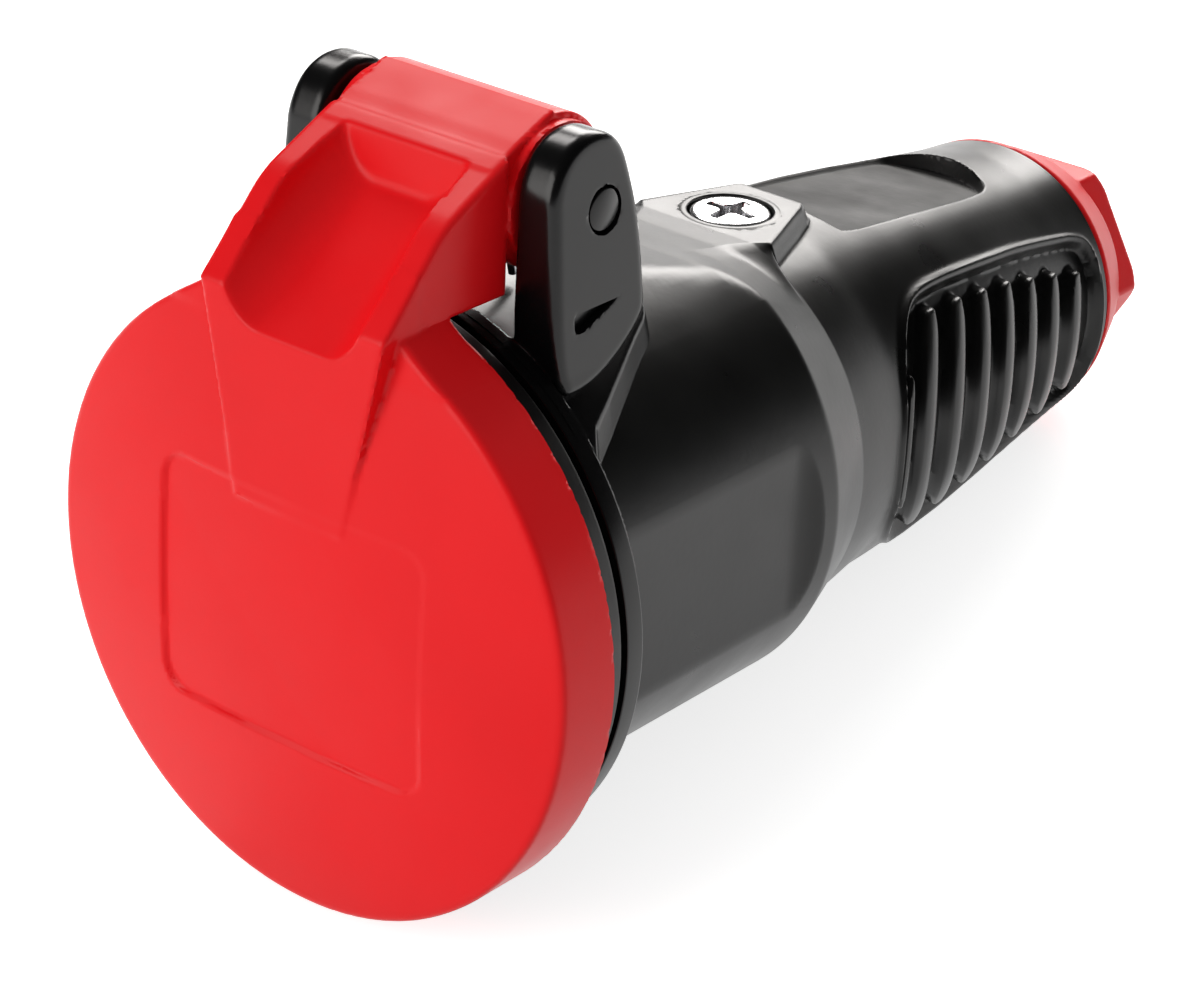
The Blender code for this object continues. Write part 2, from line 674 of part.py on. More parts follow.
def lever_profile():
    """Give the lever's side view: thumb slope, bend, crest and the knuckle round the pin."""
    bend = (LEVER_BEND_DEPTH, LEVER_BOTTOM + LEVER_BEND_RISE)
    top = (LEVER_TOP_DEPTH, LEVER_BOTTOM + LEVER_TOP_RISE)
    return [(-LEVER_OVERHANG, LEVER_BOTTOM), bend, top]


def knuckle_arc(radius, first, last, steps):
    """Give side-view points round the hinge pin between two angles, measured from the rear upwards."""
    arc = []
    for step in range(steps + 1):
        angle = first + (last - first) * step / steps
        arc.append((PIN_BEHIND_FACE + radius * cos(angle), PIN_HEIGHT + radius * sin(angle)))
    return arc


def lid_face(radius):
    """Give the depth of the domed lid face at a distance from the axis; it bulges forward."""
    return -LID_DOME * (1 - (radius / DOME_RADIUS) ** 2)


def lid_disc():
    """Turn the lid's domed disc and rim as one cap, with a soft front edge."""
    outside = [(lid_face(DOME_RADIUS * k / 5), DOME_RADIUS * k / 5) for k in range(5)]
    inside = [(LID_WALL - LID_DOME * (1 - k * k / 9), RECESS_RADIUS * k / 3) for k in range(3, -1, -1)]
    edge = []
    for step in range(ARC_STEPS + 1):
        angle = pi / 2 * step / ARC_STEPS
        edge.append((LID_EDGE_ROUND * (1 - sin(angle)), LID_RADIUS - LID_EDGE_ROUND * (1 - cos(angle))))
    rear = CLEARANCE
    profile = [*outside, *reversed(edge), (LID_DEPTH - rear, LID_RADIUS), (LID_DEPTH, LID_RADIUS - rear),
               (LID_DEPTH, LID_INNER_RADIUS), (LID_WALL, LID_INNER_RADIUS), *inside]
    return turned("lid", profile, axis_frame())


def scoop_cutter():
    """Make the cutter for the thumb scoop: a trough with a round bottom that runs up the lever."""
    start = Vector((-LEVER_OVERHANG, scoop_floor(-LEVER_OVERHANG)))
    end = Vector((SCOOP_END_DEPTH, scoop_floor(SCOOP_END_DEPTH)))
    along = (end - start).normalized()
    up = Vector((-along.y, along.x))
    start = start - along * LEVER_BEND_RISE
    tall = LEVER_TOP_RISE
    wide = SCOOP_HALF_WIDTH
    section = rounded([(-wide, tall), (-wide, 0), (wide, 0), (wide, tall)], [0, SCOOP_CORNER, SCOOP_CORNER, 0], 6)
    loops = []
    for middle in (start, end):
        points = [middle + up * rise for x, rise in section]
        loops.append([place(x, point.x, point.y) for (x, rise), point in zip(section, points)])
    return lofted("thumb_scoop", loops)


def make_neck():
    """Make the neck that widens the rim up to the lever's root."""
    middle = LID_RADIUS - LID_RIM_WALL / 2
    last = asin(NECK_HALF_WIDTH / middle)
    arc = [(middle * sin(last * k / 4), middle * cos(last * k / 4)) for k in range(-4, 5)]
    rim = sqrt(LID_RADIUS ** 2 - NECK_HALF_WIDTH ** 2)
    lever = LEVER_HALF_WIDTH
    top = LEVER_BOTTOM + LID_RIM_WALL
    outline = arc + [(NECK_HALF_WIDTH, rim), (lever, LEVER_BOTTOM), (lever - LID_WALL, top),
                     (LID_WALL - lever, top), (-lever, LEVER_BOTTOM), (-NECK_HALF_WIDTH, rim)]
    return prism("neck", outline, 0, LID_DEPTH, front_view)


def make_thumb_lever():
    """Make the thumb lever with the flat wedge below it that runs down into the lid's dome."""
    slope = lever_profile()
    end = PIN_BEHIND_FACE - EAR_FRONT_TO_PIN - CLEARANCE * 2
    under = slope[2][1] - LID_WALL
    side = slope + [(LEVER_TOP_DEPTH, under), (end, under), (end, LEVER_BOTTOM), (LID_WALL / 2, LEVER_BOTTOM)]
    foot = ((-LEVER_OVERHANG, WEDGE_FOOT_HEIGHT), (LID_WALL / 2, WEDGE_FOOT_HEIGHT))
    points = [place(x, *spot) for x in (-LEVER_HALF_WIDTH, LEVER_HALF_WIDTH) for spot in side]
    points += [place(x, *spot) for x in (-WEDGE_FOOT_HALF_WIDTH, WEDGE_FOOT_HALF_WIDTH) for spot in foot]
    count = len(side)
    last = count - 1
    faces = [tuple(range(count)), tuple(range(count, 2 * count))]
    faces += [(k, k + 1, k + 1 + count, k + count) for k in range(last)]
    low = 2 * count
    faces += [(0, count, low + 2, low), (last, last + count, low + 3, low + 1), (low, low + 1, low + 3, low + 2),
              (0, last, low + 1, low), (count, count + last, low + 3, low + 2)]
    return make_object("thumb_lever", points, faces)


def scoop_floor(depth):
    """Give the height of the thumb scoop's floor at a depth."""
    low = LEVER_BOTTOM - SCOOP_FLOOR_FRONT_DROP
    rise = (SCOOP_END_RISE + SCOOP_FLOOR_FRONT_DROP) / (SCOOP_END_DEPTH + LEVER_OVERHANG)
    return low + rise * (depth + LEVER_OVERHANG)


def make_lid(plastic):
    """Make the lid: disc, rim, neck, thumb lever and hinge knuckle in one moulding."""
    lid = lid_disc()
    join(lid, make_neck())
    join(lid, make_thumb_lever())
    slope = lever_profile()
    arc = knuckle_arc(KNUCKLE_RADIUS, pi * 0.58, -pi / 2, 14)
    crest = [(LEVER_TOP_DEPTH - LID_WALL, LEVER_BOTTOM + LID_WALL / 2),
             (LEVER_TOP_DEPTH - LID_WALL, slope[2][1] - LID_WALL), slope[2]]
    width = CREST_HALF_WIDTH
    join(lid, prism("knuckle", crest + arc, -width, width, side_view))
    hub = KNUCKLE_RADIUS - CLEARANCE * 2
    end = CREST_HALF_WIDTH + KNUCKLE_HUB
    hub_profile = [(-end, 0), (-end, hub), (end, hub), (end, 0)]
    hinge = cross_frame(PIN_BEHIND_FACE, PIN_HEIGHT)
    join(lid, turned("knuckle_hubs", hub_profile, hinge, ROUND_STEPS // 2))
    cut(lid, scoop_cutter())
    opening = pi * 0.33
    roof = knuckle_arc(SPRING_SLOT_RADIUS, opening, pi * 0.62, 6)
    floor = LEVER_BOTTOM - LID_WALL
    pocket_front = LID_DEPTH + LID_WALL
    far = PIN_BEHIND_FACE + KNUCKLE_RADIUS * 2
    pocket = [(pocket_front, floor), (pocket_front, scoop_floor(pocket_front) - LID_WALL),
              (SCOOP_END_DEPTH, scoop_floor(SCOOP_END_DEPTH) - LID_WALL), *reversed(roof),
              (far, PIN_HEIGHT + (far - PIN_BEHIND_FACE) * sin(opening) / cos(opening)), (far, floor)]
    cut(lid, prism("spring_slot", pocket, -SPRING_SLOT_HALF, SPRING_SLOT_HALF, side_view))
    bore = PIN_RADIUS + CLEARANCE
    reach = end + CLEARANCE * 2
    cut(lid, turned("knuckle_bore", [(-reach, 0), (-reach, bore), (reach, bore), (reach, 0)], hinge, SMALL_STEPS))
    label = rounded([(-LABEL_HALF_WIDTH, -LABEL_BOTTOM), (LABEL_HALF_WIDTH, -LABEL_BOTTOM),
                     (LABEL_HALF_WIDTH, LABEL_TOP), (-LABEL_HALF_WIDTH, LABEL_TOP)], LABEL_CORNER)
    back = [place(x, lid_face(hypot(x, height)) + LABEL_DEPTH, height) for x, height in label]
    front = [place(x, -LID_DOME * 2, height) for x, height in label]
    cut(lid, lofted("label_recess", [front, back]))
    return finish(lid, plastic)


def make_lid_seal(rubber):
    """Make the ring gasket inside the lid, which closes on the collar's nose."""
    outer = NOSE_RADIUS - CLEARANCE
    inner = outer - LID_SEAL_WIDTH
    front = LID_WALL + CLEARANCE
    back = front + LID_SEAL_DEPTH
    profile = [(front, inner), (front, outer), (back - CLEARANCE, outer), (back, outer - LID_SEAL_WIDTH / 4),
               (back, inner + LID_SEAL_WIDTH / 4), (back - CLEARANCE, inner)]
    return finish(turned("lid_seal", profile, axis_frame()), rubber)


def make_hinge_pin(steel):
    """Make the pin that carries the lid, its ends flush with the ears."""
    end = EAR_GAP_HALF + ear_width(PIN_HEIGHT) + CLEARANCE / 2
    chamfer = CLEARANCE
    profile = [(-end, 0), (-end, PIN_RADIUS - chamfer), (-end + chamfer, PIN_RADIUS),
               (end - chamfer, PIN_RADIUS), (end, PIN_RADIUS - chamfer), (end, 0)]
    pin = turned("hinge_pin", profile, cross_frame(PIN_BEHIND_FACE, PIN_HEIGHT), SMALL_STEPS)
    return finish(pin, steel)


def spring_path():
    """Give the middle line of the torsion spring: lid leg, coil, saddle leg."""
    points = []
    steps = SPRING_TURNS * 10
    half = SPRING_PITCH * SPRING_TURNS / 2
    first = pi * 0.62
    for step in range(steps + 1):
        share = step / steps
        angle = first + (2 * pi * SPRING_TURNS + pi * 0.95) * share
        depth = PIN_BEHIND_FACE + SPRING_COIL_RADIUS * cos(angle)
        height = PIN_HEIGHT + SPRING_COIL_RADIUS * sin(angle)
        points.append(place(-half + 2 * half * share, depth, height))
    leg = LID_DEPTH + LID_WALL * 2
    lid_leg = place(-half, leg, scoop_floor(leg) - LID_WALL - SPRING_WIRE - CLEARANCE)
    saddle_top = sqrt(SADDLE_RADIUS ** 2 - half ** 2)
    last = points[-1]
    saddle_leg = place(last.x, last.y + SPRING_COIL_RADIUS / 2, saddle_top + SPRING_WIRE + CLEARANCE)
    return [lid_leg] + points + [saddle_leg]


def make_spring(steel):
    """Sweep the spring's round wire along its middle line."""
    path = spring_path()
    sides = 5
    points = []
    faces = []
    for k, middle in enumerate(path):
        ahead = path[min(k + 1, len(path) - 1)] - path[max(k - 1, 0)]
        ahead.normalize()
        across = Vector((1, 0, 0)) - ahead * ahead.x
        across.normalize()
        other = ahead.cross(across)
        for side in range(sides):
            angle = 2 * pi * side / sides
            points.append(middle + (across * cos(angle) + other * sin(angle)) * SPRING_WIRE)
    for start in range(0, len(points) - sides, sides):
        for side in range(sides):
            following = (side + 1) % sides
            faces.append((start + side, start + following, start + sides + following, start + sides + side))
    faces.append(tuple(range(sides)))
    faces.append(tuple(range(len(points) - sides, len(points))))
    return finish(make_object("lid_spring", points, faces), steel)


def make_insert(plastic):
    """Make the insert: the socket recess with its key ribs, pin holes and earth slots."""
    profile = [(MOUTH, RECESS_RADIUS + INSERT_WALL / 2), (MOUTH, INSERT_RADIUS), (INSERT_BACK, INSERT_RADIUS),
               (INSERT_BACK, 0), (RECESS_FLOOR, 0), (RECESS_FLOOR, RECESS_RADIUS),
               (MOUTH + INSERT_WALL / 2, RECESS_RADIUS)]
    insert = turned("socket_insert", profile, axis_frame())
    inner = RECESS_RADIUS - KEY_RIB_HEIGHT
    outer = RECESS_RADIUS + INSERT_WALL / 2
    half = KEY_RIB_WIDTH / 2
    for side, name in ((1, "right"), (-1, "left")):
        rib = [(side * inner, -half), (side * outer, -half), (side * outer, half), (side * inner, half)]
        join(insert, prism("key_rib_" + name, rib, MOUTH + KEY_RIB_SETBACK, RECESS_FLOOR + INSERT_WALL / 2, front_view))
        x = side * PIN_SPACING / 2
        sleeve = SLEEVE_BORE_RADIUS + SLEEVE_WALL + CLEARANCE
        hole = [(RECESS_FLOOR - CLEARANCE, 0), (RECESS_FLOOR - CLEARANCE, PIN_HOLE_RADIUS),
                (SLEEVE_FRONT, PIN_HOLE_RADIUS), (SLEEVE_FRONT, sleeve), (INSERT_BACK + CLEARANCE, sleeve),
                (INSERT_BACK + CLEARANCE, 0)]
        cut(insert, turned("pin_hole_" + name, hole, axis_frame(x), SMALL_STEPS))
    width = STRAP_WIDTH / 2 + CLEARANCE
    tall = strap_radius() + STRAP_THICKNESS / 2 + CLEARANCE
    channel = [(-width, -tall), (width, -tall), (width, tall), (-width, tall)]
    back = INSERT_BACK + CLEARANCE
    cut(insert, prism("strap_channel", channel, INSERT_BACK - STRAP_CHANNEL_DEPTH, back, front_view))
    low = strap_radius() - STRAP_THICKNESS / 2 - CLEARANCE - CLIP_BULGE / 2
    for side, name in ((1, "top"), (-1, "bottom")):
        slot = [(-width, side * low), (width, side * low), (width, side * tall), (-width, side * tall)]
        cut(insert, prism("strap_slot_" + name, slot, RECESS_FLOOR - CLEARANCE, back, front_view))
    return finish(insert, plastic)


def strap_radius():
    """Give the height of the earth clips' middle line beside the recess wall."""
    return RECESS_RADIUS - CLEARANCE * 4 - STRAP_THICKNESS / 2


def make_earth_strap(brass):
    """Make the earth strap: one bent strip with a springy clip above and below the recess."""
    web = INSERT_BACK - CLEARANCE - STRAP_THICKNESS / 2
    tip = MOUTH + CLIP_SETBACK
    high = strap_radius()
    clip = RECESS_FLOOR - tip
    path = [(web, 0), (web, high - STRAP_THICKNESS), (web - STRAP_THICKNESS, high)]
    path += [(RECESS_FLOOR - clip * 0.10, high), (tip + clip * 0.50, high - CLIP_BULGE * 0.75),
             (tip + clip * 0.30, high - CLIP_BULGE), (tip + clip * 0.12, high - CLIP_BULGE * 0.6), (tip, high)]
    middle = [(depth, -height) for depth, height in reversed(path[1:])] + path
    half = STRAP_THICKNESS / 2
    sides = ([], [])
    for k, (depth, height) in enumerate(middle):
        before = middle[max(k - 1, 0)]
        after = middle[min(k + 1, len(middle) - 1)]
        ahead = Vector((after[0] - before[0], after[1] - before[1])).normalized()
        normal = Vector((-ahead.y, ahead.x)) * half
        sides[0].append((depth + normal.x, height + normal.y))
        sides[1].append((depth - normal.x, height - normal.y))
    outline = sides[0] + sides[1][::-1]
    strap = prism("earth_strap", outline, -STRAP_WIDTH / 2, STRAP_WIDTH / 2, side_view)
    return finish(strap, brass)


def make_contact(side, name, brass):
    """Make one contact: a slotted sleeve for the plug's pin, and its wire terminal."""
    x = side * PIN_SPACING / 2
    outer = SLEEVE_BORE_RADIUS + SLEEVE_WALL
    back = TERMINAL_FRONT + TERMINAL_LEAD
    front = SLEEVE_FRONT + CLEARANCE
    profile = [(front, SLEEVE_BORE_RADIUS), (front, outer), (back, outer), (back, SLEEVE_BORE_RADIUS)]
    contact = turned("contact_" + name, profile, axis_frame(x), SMALL_STEPS)
    half = SLEEVE_SLOT_WIDTH / 2
    slot = [(x - half, -outer * 1.2), (x + half, -outer * 1.2), (x + half, outer * 1.2), (x - half, outer * 1.2)]
    cut(contact, prism("sleeve_slot_" + name, slot, front - CLEARANCE, CARRIER_FRONT + CARRIER_THICKNESS / 2, front_view))
    join(contact, terminal_block("terminal_" + name, x))
    cut_terminal(contact, name, x)
    return finish(contact, brass)


def terminal_block(name, x):
    """Make the plain block of a wire terminal."""
    half = TERMINAL_WIDTH / 2
    tall = TERMINAL_HEIGHT / 2
    corners = [(x - half, -tall), (x + half, -tall), (x + half, tall), (x - half, tall)]
    return prism(name, rounded(corners, CLEARANCE * 2, 2), TERMINAL_FRONT, TERMINAL_BACK, front_view)


def cut_terminal(target, name, x):
    """Cut the wire hole and the screw hole of a terminal."""
    bottom = TERMINAL_FRONT + TERMINAL_LEAD * 2
    wire = [(bottom, 0), (bottom, WIRE_HOLE_RADIUS), (TERMINAL_BACK + CLEARANCE, WIRE_HOLE_RADIUS),
            (TERMINAL_BACK + CLEARANCE, 0)]
    cut(target, turned("wire_hole_" + name, wire, axis_frame(x), SMALL_STEPS))
    bore = TERMINAL_SCREW_SHANK + CLEARANCE
    top = TERMINAL_HEIGHT / 2 + CLEARANCE
    hole = [(0, 0), (0, bore), (top, bore), (top, 0)]
    cut(target, turned("terminal_bore_" + name, hole, upright_frame(x, terminal_screw_depth()), SMALL_STEPS))


def terminal_screw_depth():
    """Give the depth of the terminal screws, towards the rear of their blocks."""
    return TERMINAL_BACK - TERMINAL_SCREW_HEAD - CLEARANCE


def make_earth_terminal(brass):
    """Make the earth terminal with the stem that joins it to the strap."""
    block = terminal_block("earth_terminal", 0)
    stem = [(INSERT_BACK, 0), (INSERT_BACK, EARTH_STEM_RADIUS), (TERMINAL_FRONT + TERMINAL_LEAD, EARTH_STEM_RADIUS),
            (TERMINAL_FRONT + TERMINAL_LEAD, 0)]
    join(block, turned("earth_stem", stem, axis_frame(), SMALL_STEPS))
    cut_terminal(block, "earth", 0)
    return finish(block, brass)


def slotted_screw(name, x, steel):
    """Make a terminal screw with a plain slot."""
    top = TERMINAL_HEIGHT / 2
    head = top + CLEARANCE
    peak = head + TERMINAL_SCREW_RISE
    tip = WIRE_HOLE_RADIUS * 0.4
    profile = [(tip, 0), (tip, TERMINAL_SCREW_SHANK), (head, TERMINAL_SCREW_SHANK), (head, TERMINAL_SCREW_HEAD),
               (peak - CLEARANCE, TERMINAL_SCREW_HEAD), (peak, TERMINAL_SCREW_HEAD - CLEARANCE), (peak, 0)]
    depth = terminal_screw_depth()
    screw = turned(name, profile, upright_frame(x, depth), SMALL_STEPS)
    half = CROSS_WIDTH / 3
    reach = TERMINAL_SCREW_HEAD * 1.2
    slot = [(x - reach, depth - half), (x + reach, depth - half), (x + reach, depth + half), (x - reach, depth + half)]
    cut(screw, prism(name + "_slot", slot, peak - TERMINAL_SCREW_RISE / 2, peak + CLEARANCE, plan_view))
    return finish(screw, steel)


def make_carrier(plastic):
    """Make the terminal carrier behind the insert, with its tail that takes the housing screw."""
    profile = [(CARRIER_FRONT, 0), (CARRIER_FRONT, INSERT_RADIUS), (CARRIER_BACK, INSERT_RADIUS), (CARRIER_BACK, 0)]
    carrier = turned("terminal_carrier", profile, axis_frame())
    cradle_end = CARRIER_BACK + CRADLE_LENGTH
    gap = PIN_SPACING / 2 - TERMINAL_WIDTH
    wall_half = max(gap / 2 - CLEARANCE, CRADLE_WALL / 4)
    tall = TERMINAL_HEIGHT / 2
    middle = PIN_SPACING / 4
    start = CARRIER_BACK - CRADLE_WALL / 2
    for side, name in ((1, "right"), (-1, "left")):
        wall = [(side * middle - wall_half, -tall), (side * middle + wall_half, -tall),
                (side * middle + wall_half, tall), (side * middle - wall_half, tall)]
        join(carrier, prism("cradle_" + name, wall, start, cradle_end, front_view))
        outside = side * (PIN_SPACING / 2 + TERMINAL_WIDTH / 2 + CLEARANCE)
        beyond = outside + side * CRADLE_WALL
        shelf = [(outside, -tall), (beyond, -tall), (beyond, tall), (outside, tall)]
        join(carrier, prism("cradle_side_" + name, shelf, start, cradle_end, front_view))
        x = side * PIN_SPACING / 2
        bore = SLEEVE_BORE_RADIUS + SLEEVE_WALL + CLEARANCE
        hole = [(CARRIER_FRONT - CLEARANCE, 0), (CARRIER_FRONT - CLEARANCE, bore), (CARRIER_BACK + CLEARANCE, bore),
                (CARRIER_BACK + CLEARANCE, 0)]
        cut(carrier, turned("sleeve_bore_" + name, hole, axis_frame(x), SMALL_STEPS))
    stem = EARTH_STEM_RADIUS + CLEARANCE
    hole = [(CARRIER_FRONT - CLEARANCE, 0), (CARRIER_FRONT - CLEARANCE, stem), (CARRIER_BACK + CLEARANCE, stem),
            (CARRIER_BACK + CLEARANCE, 0)]
    cut(carrier, turned("stem_bore", hole, axis_frame(), SMALL_STEPS))
    tail_end = SCREW_DEPTH + BOSS_RADIUS
    wall_inner = body_radius(tail_end) - HANDLE_WALL
    tail_top = sqrt(wall_inner ** 2 - TAIL_HALF_WIDTH ** 2) - CLEARANCE * 2
    tail_bottom = tail_top - TAIL_THICKNESS
    width = TAIL_HALF_WIDTH
    tail = [(-width, tail_bottom), (width, tail_bottom), (width, tail_top), (-width, tail_top)]
    join(carrier, prism("tail", tail, start, tail_end, front_view))
    boss_top = wall_inner - CLEARANCE * 3
    boss = [(tail_bottom - TAIL_THICKNESS, 0), (tail_bottom - TAIL_THICKNESS, BOSS_RADIUS),
            (boss_top, BOSS_RADIUS), (boss_top, 0)]
    upright = upright_frame(0, SCREW_DEPTH)
    join(carrier, turned("screw_boss", boss, upright, SMALL_STEPS))
    bore = SCREW_SHANK_RADIUS + CLEARANCE
    low = tail_bottom - TAIL_THICKNESS * 2
    cut(carrier, turned("boss_bore", [(low, 0), (low, bore), (LID_RADIUS, bore), (LID_RADIUS, 0)], upright, SMALL_STEPS))
    return finish(carrier, plastic)


def make_housing_screw(steel):
    """Make the cross-recessed screw that holds the housing on the insert."""
    top = PLATEAU_HEIGHT - CLEARANCE / 2
    seat = top - SCREW_HEAD_HEIGHT
    tail_end = SCREW_DEPTH + BOSS_RADIUS
    wall_inner = body_radius(tail_end) - HANDLE_WALL
    tip = sqrt(wall_inner ** 2 - TAIL_HALF_WIDTH ** 2) - TAIL_THICKNESS * 2
    edge = CLEARANCE * 2
    profile = [(tip, 0), (tip, SCREW_SHANK_RADIUS), (seat, SCREW_SHANK_RADIUS), (seat, SCREW_HEAD_RADIUS),
               (top - edge, SCREW_HEAD_RADIUS), (top, SCREW_HEAD_RADIUS - edge), (top, 0)]
    screw = turned("housing_screw", profile, upright_frame(0, SCREW_DEPTH), SMALL_STEPS)
    arm = CROSS_LENGTH / 2
    half = CROSS_WIDTH / 2
    y = SCREW_DEPTH
    cross = [(-arm, y - half), (-half, y - half), (-half, y - arm), (half, y - arm), (half, y - half), (arm, y - half),
             (arm, y + half), (half, y + half), (half, y + arm), (-half, y + arm), (-half, y + half), (-arm, y + half)]
    cut(screw, prism("cross_recess", cross, top - CROSS_DEPTH, top + CLEARANCE, plan_view))
    return finish(screw, steel)


def cage_radii():
    """Give the clamping cage's outer and inner finger radii."""
    outer = GLAND_BORE_RADIUS - CLEARANCE - NUT_SPIGOT_WALL - CLEARANCE
    return outer, outer - CAGE_WALL


def make_cage(plastic):
    """Make the clamping cage: a ring with fingers that the nut presses on the cable."""
    outer, inner = cage_radii()
    base_back = GLAND_SEAT + CLEARANCE + CAGE_BASE_LENGTH
    tip = base_back + CAGE_FINGER_LENGTH
    base_radius = GLAND_BORE_RADIUS - CLEARANCE
    profile = [(GLAND_SEAT + CLEARANCE, inner), (GLAND_SEAT + CLEARANCE, base_radius), (base_back, base_radius),
               (base_back, outer), (tip - CAGE_WALL, outer), (tip, outer - CAGE_WALL / 2), (tip, inner)]
    cage = turned("clamp_cage", profile, axis_frame())
    half = CAGE_SLOT_WIDTH / 2
    for k in range(CAGE_FINGER_COUNT // 2):
        turn = Matrix.Rotation(2 * pi * k / CAGE_FINGER_COUNT, 2)
        corners = [turn @ Vector(p) for p in ((-outer * 2, -half), (outer * 2, -half), (outer * 2, half), (-outer * 2, half))]
        slot = prism("cage_slot_%d" % k, corners, base_back, tip + CAGE_WALL, front_view)
        cut(cage, slot)
    return finish(cage, plastic)


def make_grommet(rubber):
    """Make the rubber grommet that seals the cable inside the cage."""
    outer = cage_radii()[1] - CLEARANCE
    front = GLAND_SEAT + CLEARANCE * 2
    back = GLAND_SEAT + CLEARANCE + CAGE_BASE_LENGTH + CAGE_FINGER_LENGTH + GROMMET_OVERHANG
    taper = GROMMET_OVERHANG * 0.6
    profile = [(front, GROMMET_BORE_RADIUS), (front, outer), (back - taper, outer), (back, outer - taper),
               (back, GROMMET_BORE_RADIUS)]
    return finish(turned("cable_grommet", profile, axis_frame()), rubber)


def make_nut(plastic):
    """Make the gland nut: coned flange, hexagon and the spigot that screws into the housing."""
    spigot = GLAND_BORE_RADIUS - CLEARANCE
    inner = spigot - NUT_SPIGOT_WALL
    spigot_front = NUT_FRONT - NUT_SPIGOT_LENGTH
    profile = [(spigot_front, 0), (spigot_front, spigot), (NUT_FRONT, spigot), (NUT_FRONT, TAIL_RADIUS),
               (NUT_FRONT + CLEARANCE * 2, TAIL_RADIUS), (HEX_FRONT, NUT_FLANGE_REAR_RADIUS), (HEX_FRONT, 0)]
    nut = turned("gland_nut", profile, axis_frame())
    corners = [(HEX_CORNER_RADIUS * cos(pi * k / 3), HEX_CORNER_RADIUS * sin(pi * k / 3)) for k in range(6)]
    join(nut, prism("nut_hexagon", corners, HEX_FRONT - NUT_FLANGE_LENGTH / 2, NUT_BACK, front_view))
    closing = NUT_BACK - HEX_LENGTH
    hollow = [(spigot_front - CLEARANCE, 0), (spigot_front - CLEARANCE, inner), (closing - NUT_CLOSING_LENGTH, inner),
              (closing, NUT_MOUTH_RADIUS), (NUT_BACK + CLEARANCE, NUT_MOUTH_RADIUS), (NUT_BACK + CLEARANCE, 0)]
    cut(nut, turned("nut_bore", hollow, axis_frame()))
    return finish(nut, plastic)


def lay_down():
    """Apply every cut and union, then lay the part on the floor as it rests, centred on the origin."""
    graph = bpy.context.evaluated_depsgraph_get()
    pieces = [item for item in bpy.data.objects if not item.hide_render]
    helpers = [item for item in bpy.data.objects if item.hide_render]
    finished = [bpy.data.meshes.new_from_object(item.evaluated_get(graph)) for item in pieces]
    rise = LID_RADIUS - TAIL_RADIUS
    run = NUT_FRONT + 2 * CLEARANCE - (LID_DEPTH - CLEARANCE)
    tilt = Matrix.Rotation(-atan2(rise, run), 4, "X")
    points = [tilt @ point.co for mesh in finished for point in mesh.vertices]
    low = [min(point[axis] for point in points) for axis in range(3)]
    high = [max(point[axis] for point in points) for axis in range(3)]
    middle = Vector(((low[0] + high[0]) / 2, (low[1] + high[1]) / 2, low[2]))
    rest = Matrix.Translation(-middle) @ tilt
    for item, mesh in zip(pieces, finished):
        item.modifiers.clear()
        mesh.transform(rest)
        item.data = mesh
    for item in helpers:
        bpy.data.objects.remove(item)
    return rest


def main():
    """Clear the scene and make every piece of the socket."""
    for item in list(bpy.data.objects):
        bpy.data.objects.remove(item)
    black_rubber = make_material("black rubber", (0.012, 0.012, 0.012), 0.45)
    black_plastic = make_material("black plastic", (0.010, 0.010, 0.011), 0.30)
    red_plastic = make_material("red plastic", (0.80, 0.022, 0.026), 0.35)
    brass = make_material("brass", (0.72, 0.52, 0.22), 0.30, 1.0)
    steel = make_material("bright steel", (0.75, 0.76, 0.78), 0.28, 1.0)
    make_housing(black_rubber)
    make_collar(black_plastic)
    make_front_lip(black_rubber)
    make_insert(black_plastic)
    make_carrier(black_plastic)
    make_contact(1, "right", brass)
    make_contact(-1, "left", brass)
    make_earth_strap(brass)
    make_earth_terminal(brass)
    for name, x in (("right", PIN_SPACING / 2), ("left", -PIN_SPACING / 2), ("earth", 0)):
        slotted_screw("terminal_screw_" + name, x, steel)
    make_housing_screw(steel)
    make_cage(black_plastic)
    make_grommet(black_rubber)
    make_nut(red_plastic)
    make_hinge_pin(black_plastic)
    make_spring(steel)
    moving = (make_lid(red_plastic), make_lid_seal(black_rubber))
    rest = lay_down()
    hinge = bpy.data.objects.new("hinge_axis", None)
    hinge.location = rest @ place(0, PIN_BEHIND_FACE, PIN_HEIGHT)
    bpy.context.scene.collection.objects.link(hinge)
    bpy.context.view_layer.update()
    for item in moving:
        item.parent = hinge
        item.matrix_parent_inverse = hinge.matrix_world.inverted()


main()
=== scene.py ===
"""Rubber extension socket: detailed pieces, materials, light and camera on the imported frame.

The pieces are shaped in the socket's own frame, in millimetres, as (x, depth, height): depth runs back
along the socket axis from the edge of the lid's face, and height runs up from that axis to the hinge.
"""
import json
from math import asin, atan2, cos, hypot, pi, radians, sin, sqrt

import bmesh
import bpy
import numpy as np
from mathutils import Matrix, Vector


